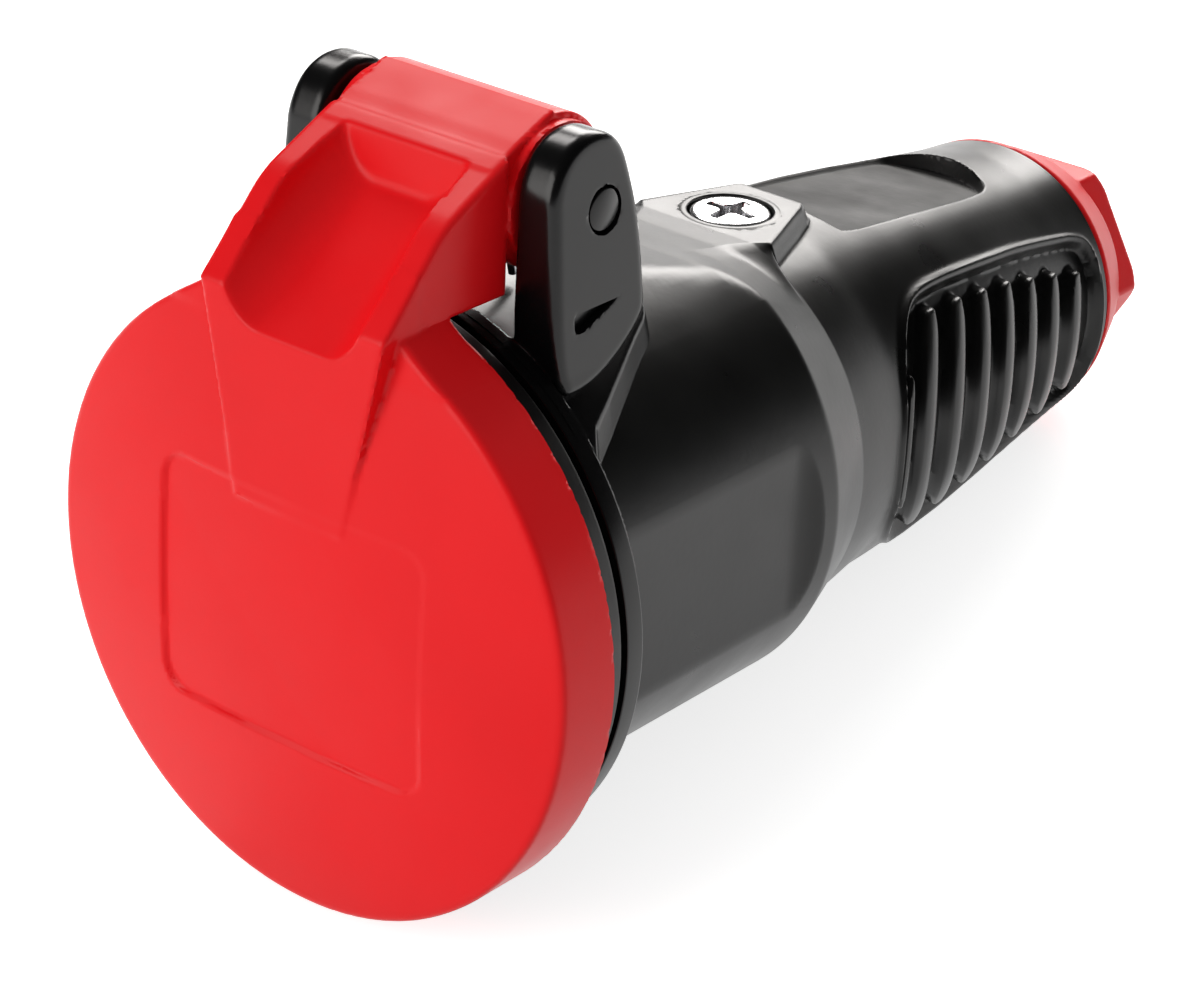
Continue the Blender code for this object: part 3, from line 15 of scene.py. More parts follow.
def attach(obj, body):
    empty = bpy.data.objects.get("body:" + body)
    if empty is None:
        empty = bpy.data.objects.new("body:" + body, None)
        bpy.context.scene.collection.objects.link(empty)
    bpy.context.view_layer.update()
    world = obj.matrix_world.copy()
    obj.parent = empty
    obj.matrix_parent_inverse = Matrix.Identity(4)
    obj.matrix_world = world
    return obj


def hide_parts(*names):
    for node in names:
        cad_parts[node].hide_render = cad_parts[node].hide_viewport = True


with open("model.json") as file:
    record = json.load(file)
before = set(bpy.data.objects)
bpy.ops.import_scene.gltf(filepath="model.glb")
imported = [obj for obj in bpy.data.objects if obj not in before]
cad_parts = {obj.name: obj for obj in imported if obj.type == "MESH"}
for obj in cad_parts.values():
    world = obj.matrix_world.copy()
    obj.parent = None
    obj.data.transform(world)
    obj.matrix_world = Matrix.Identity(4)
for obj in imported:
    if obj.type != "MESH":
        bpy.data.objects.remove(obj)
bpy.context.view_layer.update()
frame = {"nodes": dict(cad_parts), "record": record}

# Sizes in millimetres
LID_RADIUS = 29.0
LID_DEPTH = 6.5
LID_INNER_RADIUS = 27.2
LID_WALL = 2.0
RIM_BACK = 6.75
DOME_RISE = 2.3
DOME_RADIUS = 28.0
BAND_RADIUS = 26.9
BARREL_RADIUS = 23.2
NECK_RADIUS = 20.6
SADDLE_RADIUS = 25.25
TAIL_RADIUS = 14.9
HOUSING_FRONT = 15.3
SHOULDER_FRONT = 46.4
SHOULDER_END = 54.0
PANEL_FRONT = 66.9
HANDLE_END = 105.7
NUT_FRONT = 106.0
HEX_FRONT = 111.7
HEX_RADIUS = 12.75
NUT_BACK = 115.9
PIN_DEPTH = 19.7
PIN_HEIGHT = 35.5
PIN_RADIUS = 2.0
PIN_END = 15.28
KNUCKLE_RADIUS = 6.9
LEVER_BOTTOM = 28.2
LEVER_TIP = -1.85
SCREW_DEPTH = 58.6
SCREW_RADIUS = 3.9
COIL_RADIUS = 3.4
WIRE_RADIUS = 0.45
DETAIL = 1.0

# The part rests on the lid's rim and the nut's flange, so its axis slopes down to the cable end
TILT = Matrix.Rotation(-atan2(LID_RADIUS - TAIL_RADIUS, NUT_FRONT + 0.6 - (LID_DEPTH - 0.3)), 4, "X")
hinge = Vector(frame["record"]["behaviour"]["joints"][0]["pos_m"])
REST = (Matrix.Translation(hinge) @ TILT @ Matrix.Scale(0.001, 4)
        @ Matrix.Translation((0, -PIN_DEPTH, -PIN_HEIGHT)))


def make_piece(name, points, faces, material, body, nodes, crease=40):
    """Make a piece from points in the socket's frame, and tie it to its body and CAD nodes."""
    mesh = bpy.data.meshes.new(name)
    points = np.asarray(points, dtype=float)
    rest = np.array(REST)
    placed = points @ rest[:3, :3].T + rest[:3, 3]
    mesh.from_pydata(placed.tolist(), [], faces)
    shape = bmesh.new()
    shape.from_mesh(mesh)
    bmesh.ops.recalc_face_normals(shape, faces=shape.faces)
    shape.to_mesh(mesh)
    shape.free()
    mesh.shade_smooth()
    mesh.set_sharp_from_angle(angle=radians(crease))
    item = bpy.data.objects.new(name, mesh)
    bpy.context.scene.collection.objects.link(item)
    item.data.materials.append(material)
    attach(item, body)
    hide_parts(*nodes)
    return item


def smooth_step(value):
    """Rise softly from 0 to 1 while the value goes from 0 to 1."""
    share = np.clip(value, 0, 1)
    return share * share * (3 - 2 * share)


def soft_min(first, second, width):
    """Take the lower of two values and round the edge between them."""
    share = np.clip(0.5 + 0.5 * (second - first) / width, 0, 1)
    return second + (first - second) * share - width * share * (1 - share)


def soft_max(first, second, width):
    """Take the higher of two values and round the edge between them."""
    return -soft_min(-first, -second, width)


def to_outline(u, v, outline):
    """Give the distance from points to a closed outline, negative inside it."""
    nearest = np.full(np.shape(u), 1e9)
    sign = np.ones(np.shape(u))
    before = outline[-1]
    for corner in outline:
        edge_u = before[0] - corner[0]
        edge_v = before[1] - corner[1]
        away_u = u - corner[0]
        away_v = v - corner[1]
        share = np.clip((away_u * edge_u + away_v * edge_v) / (edge_u ** 2 + edge_v ** 2), 0, 1)
        nearest = np.minimum(nearest, (away_u - edge_u * share) ** 2 + (away_v - edge_v * share) ** 2)
        above = v >= corner[1]
        below = v < before[1]
        left = edge_u * away_v > edge_v * away_u
        sign = np.where((above & below & left) | (~above & ~below & ~left), -sign, sign)
        before = corner
    return sign * np.sqrt(nearest)


def softened(outline, rounds=2):
    """Cut the corners of a closed outline until it is smooth."""
    for _ in range(rounds):
        following = outline[1:] + outline[:1]
        outline = [(a[0] + (b[0] - a[0]) * t, a[1] + (b[1] - a[1]) * t)
                   for a, b in zip(outline, following) for t in (0.25, 0.75)]
    return outline


def slab(flat, along, start, end, edge=0.0):
    """Give the distance to an outline pushed out between two ends, with a soft edge."""
    ends = np.maximum(start - along, along - end)
    outside = np.hypot(np.maximum(flat + edge, 0), np.maximum(ends + edge, 0))
    return outside + np.minimum(np.maximum(flat, ends) + edge, 0) - edge


def slope_of(field, points, nudge):
    """Give the direction in which a distance field rises at each point."""
    directions = np.array(((1, -1, -1), (-1, -1, 1), (-1, 1, -1), (1, 1, 1)), dtype=float)
    return sum(field(points + nudge * way)[:, None] * way for way in directions) / (4 * nudge)


def surface_net(field, low, high, step):
    """Mesh the zero level of a distance field inside a box, with its edges kept crisp."""
    low = np.array(low, dtype=float)
    block = 8
    blocks = np.ceil((np.array(high) - low) / (step * block)).astype(int) + 1
    size = blocks * block
    places = np.stack(np.meshgrid(*[np.arange(n) for n in blocks], indexing="ij"), -1).reshape(-1, 3)
    centres = low + (places * block + (block - 1) / 2) * step
    middle = field(centres)
    near = np.abs(middle) < step * (block * sqrt(3) / 2 + 3)
    inside = np.where(middle < 0, -1.0, 1.0).reshape(blocks)
    values = np.repeat(np.repeat(np.repeat(inside, block, 0), block, 1), block, 2).astype(np.float32)
    offsets = np.stack(np.meshgrid(*[np.arange(block)] * 3, indexing="ij"), -1).reshape(-1, 3)
    corners = places[near] * block
    for start in range(0, len(corners), 2000):
        spots = (corners[start:start + 2000, None, :] + offsets[None]).reshape(-1, 3)
        values[spots[:, 0], spots[:, 1], spots[:, 2]] = field(low + spots * step)
    solid = values < 0
    parts = [(i, j, k) for i in (0, 1) for j in (0, 1) for k in (0, 1)]
    shape = tuple(size - 1)

    def corner(array, part):
        i, j, k = part
        return array[i:i + shape[0], j:j + shape[1], k:k + shape[2]]

    count = sum(corner(solid, part).astype(np.int8) for part in parts)
    cells = np.argwhere((count > 0) & (count < 8))
    index = np.full(shape, -1, dtype=np.int64)
    index[cells[:, 0], cells[:, 1], cells[:, 2]] = np.arange(len(cells))
    total = np.zeros((len(cells), 3))
    crossings = np.zeros(len(cells))
    pull = np.zeros((len(cells), 3, 3))
    aim = np.zeros((len(cells), 3))
    for a in parts:
        for b in parts:
            if sum(b) == sum(a) + 1 and all(q >= p for p, q in zip(a, b)):
                here = values[cells[:, 0] + a[0], cells[:, 1] + a[1], cells[:, 2] + a[2]]
                there = values[cells[:, 0] + b[0], cells[:, 1] + b[1], cells[:, 2] + b[2]]
                crosses = (here < 0) != (there < 0)
                share = np.where(crosses, here / np.where(crosses, here - there, 1), 0)
                spot = np.array(a) + share[:, None] * (np.array(b) - np.array(a))
                total += spot * crosses[:, None]
                crossings += crosses
                normal = slope_of(field, low + (cells[crosses] + spot[crosses]) * step, step * 0.1)
                normal /= np.maximum(np.sqrt((normal ** 2).sum(-1)), 1e-6)[:, None]
                pull[crosses] += normal[:, :, None] * normal[:, None, :]
                aim[crosses] += normal * (normal * spot[crosses]).sum(-1)[:, None]
    middle = total / crossings[:, None]
    pull += np.eye(3) * 0.04
    corner_point = np.linalg.solve(pull, (aim + middle * 0.04)[:, :, None])[:, :, 0]
    points = low + (cells + np.clip(corner_point, -0.2, 1.2)) * step
    quads = []
    for axis in range(3):
        first = np.array(solid.take(range(0, size[axis] - 1), axis))
        second = np.array(solid.take(range(1, size[axis]), axis))
        edges = np.argwhere(first != second)
        others = [k for k in range(3) if k != axis]
        keep = (edges[:, others[0]] > 0) & (edges[:, others[1]] > 0)
        keep &= (edges[:, others[0]] < shape[others[0]]) & (edges[:, others[1]] < shape[others[1]])
        edges = edges[keep]
        ring = []
        for back in ((1, 1), (0, 1), (0, 0), (1, 0)):
            cell = edges.copy()
            cell[:, others[0]] -= back[0]
            cell[:, others[1]] -= back[1]
            ring.append(index[cell[:, 0], cell[:, 1], cell[:, 2]])
        quads.append(np.stack(ring, -1))
    quads = np.concatenate(quads)
    return points, quads.tolist()


def turned(name, profile, middle, along, material, body, nodes, steps=128):
    """Turn a closed profile of (distance, radius) points about a line."""
    along = Vector(along).normalized()
    side = along.orthogonal().normalized()
    other = along.cross(side)
    points = []
    rings = []
    for distance, radius in profile:
        count = steps if radius > 0 else 1
        rings.append([len(points) + k for k in range(count)])
        for k in range(count):
            angle = 2 * pi * k / steps
            points.append(Vector(middle) + along * distance
                          + (side * cos(angle) + other * sin(angle)) * radius)
    faces = []
    for ring, following in zip(rings, rings[1:] + rings[:1]):
        for k in range(steps):
            here = (ring[k % len(ring)], ring[(k + 1) % len(ring)])
            there = (following[(k + 1) % len(following)], following[k % len(following)])
            corners = tuple(dict.fromkeys(here + there))
            if len(corners) > 2:
                faces.append(corners)
    return make_piece(name, [tuple(p) for p in points], faces, material, body, nodes)


def rounded_profile(corners, radius, steps=5):
    """Round each corner of a closed (distance, radius) profile."""
    outline = []
    for k, corner in enumerate(corners):
        here = Vector(corner)
        to_before = Vector(corners[k - 1]) - here
        to_after = Vector(corners[(k + 1) % len(corners)]) - here
        size = min(radius, to_before.length * 0.45, to_after.length * 0.45)
        first = here + to_before.normalized() * size
        last = here + to_after.normalized() * size
        for step in range(steps + 1):
            t = step / steps
            outline.append(tuple(first * (1 - t) ** 2 + here * 2 * t * (1 - t) + last * t ** 2))
    return outline


# Materials

def new_material(name, colour, roughness, metallic=0.0):
    """Make a material with its shader, and give both with the object coordinates."""
    material = bpy.data.materials.new(name)
    material.use_nodes = True
    nodes = material.node_tree.nodes
    shader = nodes["Principled BSDF"]
    shader.inputs["Base Color"].default_value = (*colour, 1)
    shader.inputs["Roughness"].default_value = roughness
    shader.inputs["Metallic"].default_value = metallic
    place = nodes.new("ShaderNodeTexCoord").outputs["Object"]
    return material, shader, place


def noise(material, place, scale, detail=3.0):
    """Add a noise texture at this scale, in waves per metre."""
    texture = material.node_tree.nodes.new("ShaderNodeTexNoise")
    texture.inputs["Scale"].default_value = scale
    texture.inputs["Detail"].default_value = detail
    material.node_tree.links.new(place, texture.inputs["Vector"])
    return texture.outputs["Fac"]


def ramp(material, value, stops):
    """Turn a value into colours through a ramp of (position, colour) stops."""
    node = material.node_tree.nodes.new("ShaderNodeValToRGB")
    elements = node.color_ramp.elements
    while len(elements) < len(stops):
        elements.new(0.5)
    for element, (position, colour) in zip(elements, stops):
        element.position = position
        element.color = (*colour, 1)
    material.node_tree.links.new(value, node.inputs["Fac"])
    return node.outputs["Color"]


def spread(material, value, low, high):
    """Stretch a noise value to run between two numbers."""
    node = material.node_tree.nodes.new("ShaderNodeMapRange")
    node.inputs["From Min"].default_value = 0.3
    node.inputs["From Max"].default_value = 0.7
    node.inputs["To Min"].default_value = low
    node.inputs["To Max"].default_value = high
    material.node_tree.links.new(value, node.inputs["Value"])
    return node.outputs["Result"]


def bump(material, shader, height, strength, distance):
    """Put a bump of this distance, in metres, on the shader."""
    node = material.node_tree.nodes.new("ShaderNodeBump")
    node.inputs["Strength"].default_value = strength
    node.inputs["Distance"].default_value = distance
    material.node_tree.links.new(height, node.inputs["Height"])
    material.node_tree.links.new(node.outputs["Normal"], shader.inputs["Normal"])


def plastic(name, dark, light, roughness, grain=2500.0, depth=0.00002, strength=0.25, level=0.5):
    """Make moulded plastic or rubber: a slight colour drift, uneven gloss and a fine grain."""
    middle = [(a + b) / 2 for a, b in zip(dark, light)]
    material, shader, place = new_material(name, middle, roughness)
    links = material.node_tree.links
    drift = noise(material, place, 45.0, 4.0)
    links.new(ramp(material, drift, ((0.3, dark), (0.7, light))), shader.inputs["Base Color"])
    patches = noise(material, place, 160.0, 5.0)
    links.new(spread(material, patches, roughness * 0.9, roughness * 1.12), shader.inputs["Roughness"])
    bump(material, shader, noise(material, place, grain, 2.0), strength, depth)
    shader.inputs["Specular IOR Level"].default_value = level
    return material


def metal(name, dark, light, roughness, grain=1800.0):
    """Make plain metal with faint streaks and an uneven polish."""
    middle = [(a + b) / 2 for a, b in zip(dark, light)]
    material, shader, place = new_material(name, middle, roughness, 1.0)
    links = material.node_tree.links
    drift = noise(material, place, 300.0, 5.0)
    links.new(ramp(material, drift, ((0.3, dark), (0.7, light))), shader.inputs["Base Color"])
    patches = noise(material, place, 500.0, 3.0)
    links.new(spread(material, patches, roughness * 0.9, roughness * 1.15), shader.inputs["Roughness"])
    bump(material, shader, noise(material, place, grain, 2.0), 0.12, 0.000005)
    return material


red = plastic("red_plastic", (0.80, 0.0055, 0.0090), (0.86, 0.0072, 0.0112), 0.33, level=0.17)
red_matte = plastic("red_nut_plastic", (0.75, 0.0060, 0.0090), (0.81, 0.0076, 0.0115), 0.37, level=0.17)
rubber = plastic("black_rubber", (0.0026, 0.0026, 0.0026), (0.0040, 0.0039, 0.0038), 0.30,
                 1400.0, 0.00003, 0.22, 0.36)
panel_rubber = plastic("panel_rubber", (0.0040, 0.0040, 0.0040), (0.0056, 0.0055, 0.0054), 0.60,
                       1400.0, 0.00004, 0.30, 0.36)
lip_rubber = plastic("lip_rubber", (0.0034, 0.0034, 0.0034), (0.0050, 0.0050, 0.0050), 0.46,
                     1600.0, 0.00003, 0.30)
gloss = plastic("gloss_plastic", (0.0026, 0.0026, 0.0028), (0.0040, 0.0040, 0.0042), 0.24,
                1200.0, 0.00002, 0.15, 0.32)
inner = plastic("insert_plastic", (0.0045, 0.0045, 0.0048), (0.0065, 0.0065, 0.0068), 0.42)
brass = metal("contact_brass", (0.62, 0.42, 0.16), (0.78, 0.58, 0.28), 0.28)
steel = metal("screw_steel", (0.62, 0.62, 0.63), (0.82, 0.82, 0.84), 0.24)
wire = metal("spring_wire", (0.50, 0.51, 0.53), (0.68, 0.69, 0.71), 0.30)


# Rubber housing: a radius for every depth and angle round the axis

PROFILE = ((10.0, BARREL_RADIUS), (SHOULDER_FRONT, BARREL_RADIUS), (SHOULDER_END, NECK_RADIUS), (57.0, 20.2),
           (62.0, 19.45), (66.0, 19.3), (72.0, 18.95), (78.0, 18.4), (84.0, 17.65), (90.0, 16.8),
           (96.0, 15.95), (101.0, 15.3), (HANDLE_END, TAIL_RADIUS))
RAMP = ((30.0, 24.2), (33.0, 23.2), (37.5, 22.4), (43.7, 21.4), (50.0, 20.72), (53.5, 20.5), (120.0, 20.5))
PANEL_SIDE = ((67.6, 7.35), (76.0, 7.45), (85.3, 7.25), (91.0, 6.8), (93.6, 6.35))
GRIP_HALF = ((61.5, 0.0), (62.6, 5.2), (63.4, 8.2), (66.0, 11.6), (69.7, 13.2), (76.7, 12.9), (83.0, 12.2),
             (89.9, 11.4), (97.0, 10.2), (102.9, 9.1), (104.4, 7.4), (104.4, 3.0))
RIB_FIRST = 66.7
RIB_PITCH = 5.3
RIB_TOPS = (12.0, 11.6, 11.0, 10.3, 9.3, 8.3, 7.1)
RIB_LEAN = 30.0
HOLLOW = ((HANDLE_END, 11.1), (88.2, 11.1), (88.2, 8.2), (86.0, 8.2), (86.0, 13.6), (70.0, 15.5),
          (54.0, 16.8), (45.7, 18.55), (34.1, 18.55), (34.1, 21.05), (HOUSING_FRONT, 21.05))
RING_STEPS = ((HOUSING_FRONT, 30.0, 1.6), (30.0, 43.0, 0.5), (43.0, 47.0, 0.25), (47.0, 53.0, 0.4),
              (53.0, 55.0, 0.15), (55.0, 60.0, 0.35), (60.0, 66.5, 0.22), (66.5, 93.2, 0.25),
              (93.2, 96.7, 0.14), (96.7, HANDLE_END, 0.28))


def base_radius(depth):
    """Give the housing's plain outer radius at a depth, with its steps softened behind the shoulder."""
    fine = np.arange(HOUSING_FRONT - 4, HANDLE_END + 4, 0.05)
    raw = np.interp(fine, *zip(*PROFILE))
    reach = np.arange(-40, 41) * 0.05
    weights = np.exp(-(reach / 0.9) ** 2)
    smoothed = np.convolve(np.pad(raw, 40, mode="edge"), weights / weights.sum(), "valid")
    share = smooth_step((fine - 55.0) / 2.0)
    return np.interp(depth, fine, raw + (smoothed - raw) * share)


def round_radius(depth, angle):
    """Give the radius without the flats: the shoulder's crease bends forward beside the ramp."""
    beside = np.maximum(35 - np.degrees(np.abs(angle)), 0)
    start = SHOULDER_FRONT - 0.095 * beside ** 1.3
    cone = BARREL_RADIUS - (BARREL_RADIUS - NECK_RADIUS) * (depth - start) / (SHOULDER_END - start)
    return np.where(depth < SHOULDER_END, soft_min(BARREL_RADIUS, cone, 0.10), base_radius(depth))


def facet_limit(depth):
    """Give the distance of the barrel's side flat from the middle; it runs out in a hollow curve."""
    radius = 3.4
    along = np.clip(depth - 41.3, 0, radius * 0.98)
    plane = 21.65 + radius - np.sqrt(radius ** 2 - along ** 2)
    return np.where(depth > 44.6, 40.0, plane)


def tongue_width(depth):
    """Give the half-width of the raised tongue's top at a depth."""
    return np.interp(depth, (46.0, 51.0, 53.4, 54.6, 64.4, 65.6), (4.6, 5.4, 6.6, 7.7, 4.0, 3.3))


def tongue_draft(depth):
    """Give how far the tongue's side reaches out at its foot; it is steep only where the wall shows."""
    return np.interp(depth, (46.0, 50.0, 53.4, 54.5), (8.6, 8.2, 6.4, 1.1))


def pocket_floor(depth):
    """Give the height of the recessed panel's floor at a depth."""
    return 17.4 - (depth - 70.0) * 0.125


def pocket_outline():
    """Give the plan of the bare recessed panel on top of the handle."""
    right = [(5.6, PANEL_FRONT)] + [(half, depth) for depth, half in PANEL_SIDE] + [(4.6, 94.9), (2.4, 95.9)]
    left = [(-x, depth) for x, depth in reversed(right)]
    return softened([(0.0, PANEL_FRONT)] + right + [(0.0, 96.3)] + left, 3)


def housing_radius(depth, angle):
    """Give the housing's outer radius at a depth and an angle from the top."""
    sides = np.maximum(np.abs(np.sin(angle)), 1e-3)
    upright = np.maximum(np.cos(angle), 1e-3)
    plain = round_radius(depth, angle)
    radius = soft_min(plain, facet_limit(depth) / sides, 0.08)
    plateau = np.interp(depth, *zip(*RAMP))
    flat = np.where(np.cos(angle) > 0.05, plateau / upright, 99.0)
    softness = np.interp(depth, (44.0, 47.0), (0.22, 0.9))
    cut = np.where(depth > 31.0, soft_min(radius, flat, softness), radius)
    half = tongue_width(depth)
    edge = np.arctan2(half, plateau)
    foot = np.arcsin((half + tongue_draft(depth)) / base_radius(depth))
    side_share = np.clip((np.abs(angle) - edge) / (foot - edge), 0, 1)
    rounding = np.interp(depth, (53.4, 54.5), (1.0, 0.5))
    side_share = side_share + (smooth_step(side_share) - side_share) * rounding
    end_share = smooth_step((depth - 65.1) / 0.75)
    raised = (1 - side_share) * (1 - end_share) * smooth_step((depth - 44.0) / 4.0) * (np.cos(angle) > 0.5)
    rise = np.minimum(flat, np.hypot(plateau, half)) - cut
    radius = cut + np.maximum(rise, 0) * raised
    across = radius * np.sin(angle)
    floor = pocket_floor(depth) / upright
    inside = smooth_step(-to_outline(across, depth, pocket_outline()) / 0.38 + 0.1)
    inside = np.where(np.cos(angle) > 0.3, inside, 0)
    radius = radius + (np.minimum(radius, floor) - radius) * inside
    seat = np.hypot(radius * np.sin(angle), depth - SCREW_DEPTH)
    radius = radius - 1.9 * smooth_step((SCREW_RADIUS + 0.75 - seat) / 0.2) * (np.cos(angle) > 0.3)
    return radius + grip_relief(depth, plain * np.cos(angle)) * smooth_step((sides - 0.45) / 0.1)


def grip_relief(depth, height):
    """Give how far the grip's frame, sunken panel and ribs stand off the plain surface."""
    outline = softened(list(GRIP_HALF) + [(d, -h) for d, h in reversed(GRIP_HALF[1:])], 3)
    edge = to_outline(depth, height, outline)
    frame_rise = 0.42 * np.exp(-((edge + 0.1) / 0.34) ** 2)
    sunk = -1.1 * smooth_step((-edge - 0.3) / 0.55)
    ribs = np.full(depth.shape, -9.0)
    for k, top in enumerate(RIB_TOPS):
        ribs = np.maximum(ribs, rib_height(depth, height, RIB_FIRST + RIB_PITCH * k, top, 1.3, 0.25))
    ribs = np.maximum(ribs, rib_height(depth, height, 63.45, 7.6, 0.55, 0.0))
    return np.maximum(sunk, ribs) + frame_rise


def rib_height(depth, height, middle, top, half, crown):
    """Give the height of one curved rib: a slightly round crest, steep sides and narrowing ends."""
    away = np.abs(depth - height ** 2 / RIB_LEAN - middle) / np.sqrt(1 + (height * 2 / RIB_LEAN) ** 2)
    narrow = np.sqrt(np.clip((top - np.abs(height)) / 2.4, 0.02, 1))
    side = smooth_step((half * narrow + 0.42 - away) / 0.66)
    end = smooth_step((top - np.abs(height)) / 0.9)
    crest = crown - 0.16 * np.minimum(away, half) ** 2
    return -1.1 + (crest + 1.1) * side * end


def top_angles(depth, coarse):
    """Give the angles of a ring's points; they crowd at the tongue's wall or the recessed panel's edge."""
    if depth < 66.2:
        half = float(tongue_width(depth))
        edge = atan2(half, np.interp(depth, *zip(*RAMP)))
        foot = asin((half + float(tongue_draft(depth))) / float(base_radius(depth)))
    else:
        half = np.interp(depth, *zip((66.2, 4.4), (PANEL_FRONT, 5.8), *PANEL_SIDE))
        edge = asin((half - 0.5) / float(base_radius(depth)))
        foot = asin((half + 0.15) / float(base_radius(depth)))
    counts = [int(count / DETAIL) for count in (22, 6, 12, 9, 50 if coarse else 106, 15)]
    stops = (0, edge - 0.004, foot + 0.004, max(radians(33), foot + 0.02), radians(46), radians(134), pi)
    angles = []
    for start, end, count in zip(stops, stops[1:], counts):
        angles += [start + (end - start) * k / count for k in range(count)]
    return np.array(angles + [pi] + [-angle for angle in reversed(angles[1:])])


def make_housing():
    """Make the rubber housing as one closed skin round its hollow."""
    runs = [np.arange(start, end - 0.02, step * DETAIL) for start, end, step in RING_STEPS]
    depths = np.concatenate(runs + [[HANDLE_END]])
    rings = []
    for depth in depths:
        angles = top_angles(depth, depth < 60.0)
        height = float(base_radius(depth)) * np.cos(angles)
        lean = np.interp(depth, (54.6, 61.0, 97.5, 105.6), (0, 1, 1, 0))
        shift = np.minimum(np.abs(height), 12.5) ** 2 / RIB_LEAN * lean
        shift = shift * smooth_step((np.abs(np.sin(angles)) - 0.45) / 0.21)
        deep = np.minimum(depth + shift, HANDLE_END)
        radius = housing_radius(deep, angles)
        if depth == HANDLE_END:
            rings.append((deep - 0.3, radius, angles))
            radius = radius - 0.3
        rings.append((deep, radius, angles))
    first = rings[0]
    rings[0] = (first[0] + 0.2, first[1], first[2])
    rings.insert(0, (first[0], first[1] - 0.2, first[2]))
    around = np.linspace(0, 2 * pi, 121)[:-1]
    around = np.where(around > pi, around - 2 * pi, around)
    for depth, radius in HOLLOW:
        inner_radius = np.minimum(radius, 21.2 / np.maximum(np.abs(np.sin(around)), 1e-3))
        rings.append((np.full(len(around), depth), inner_radius, around))
    points = []
    starts = []
    for deep, radius, angles in rings:
        starts.append(sum(len(ring) for ring in points))
        points.append(np.stack([radius * np.sin(angles), deep, radius * np.cos(angles)], -1))
    faces = []
    for row in range(len(rings)):
        following = (row + 1) % len(rings)
        faces += join_rings(starts[row], rings[row][2], starts[following], rings[following][2])
    points = np.concatenate(points)
    skin = make_piece("rubber_housing_skin", points, faces, rubber, "socket", ["rubber_housing"],
                      50)
    middle = np.array([points[list(face)].mean(0) for face in faces])
    panel = (to_outline(middle[:, 0], middle[:, 1], pocket_outline()) < -0.04) & (middle[:, 2] > 9.0)
    panel &= np.hypot(middle[:, 0], middle[:, 2]) < pocket_floor(middle[:, 1]) * 1.12 + 0.3
    skin.data.materials.append(panel_rubber)
    skin.data.polygons.foreach_set("material_index", panel.astype(int))
    return skin


def join_rings(first, first_angles, second, second_angles):
    """Join two rings of points with quads, or with triangles where their counts differ."""
    here = len(first_angles)
    there = len(second_angles)
    if here == there:
        return [(first + k, first + (k + 1) % here, second + (k + 1) % here, second + k) for k in range(here)]
    near = np.append(np.mod(first_angles, 2 * pi), 2 * pi)
    far = np.append(np.mod(second_angles, 2 * pi), 2 * pi)
    faces = []
    a = b = 0
    while a < here or b < there:
        if b == there or (a < here and near[a + 1] <= far[b + 1]):
            faces.append((first + a, first + (a + 1) % here, second + b % there))
            a += 1
        else:
            faces.append((first + a % here, second + (b + 1) % there, second + b))
            b += 1
    return faces


# Lid with its neck, wedge, thumb lever, scoop and knuckle

LEVER_LINE = ((LEVER_TIP, LEVER_BOTTOM), (5.2, 36.0), (14.1, 40.35), (18.45, 42.2))
LEVER_HALF = 10.26
WEDGE_BOTTOM = 9.5
WEDGE_HALF = 6.2


def above_line(depth, height, start, end):
    """Give the distance above a line seen from the side, negative below it."""
    run = end[0] - start[0]
    rise = end[1] - start[1]
    return ((height - start[1]) * run - (depth - start[0]) * rise) / hypot(run, rise)


def from_pin(depth, height):
    """Give the distance from the hinge pin's axis."""
    return np.hypot(depth - PIN_DEPTH, height - PIN_HEIGHT)


def lever_half_width(height):
    """Give the lever's half-width at a height; it narrows towards the crest."""
    return np.interp(height, (LEVER_BOTTOM, 36.0, 40.3), (LEVER_HALF, 10.15, 10.0))


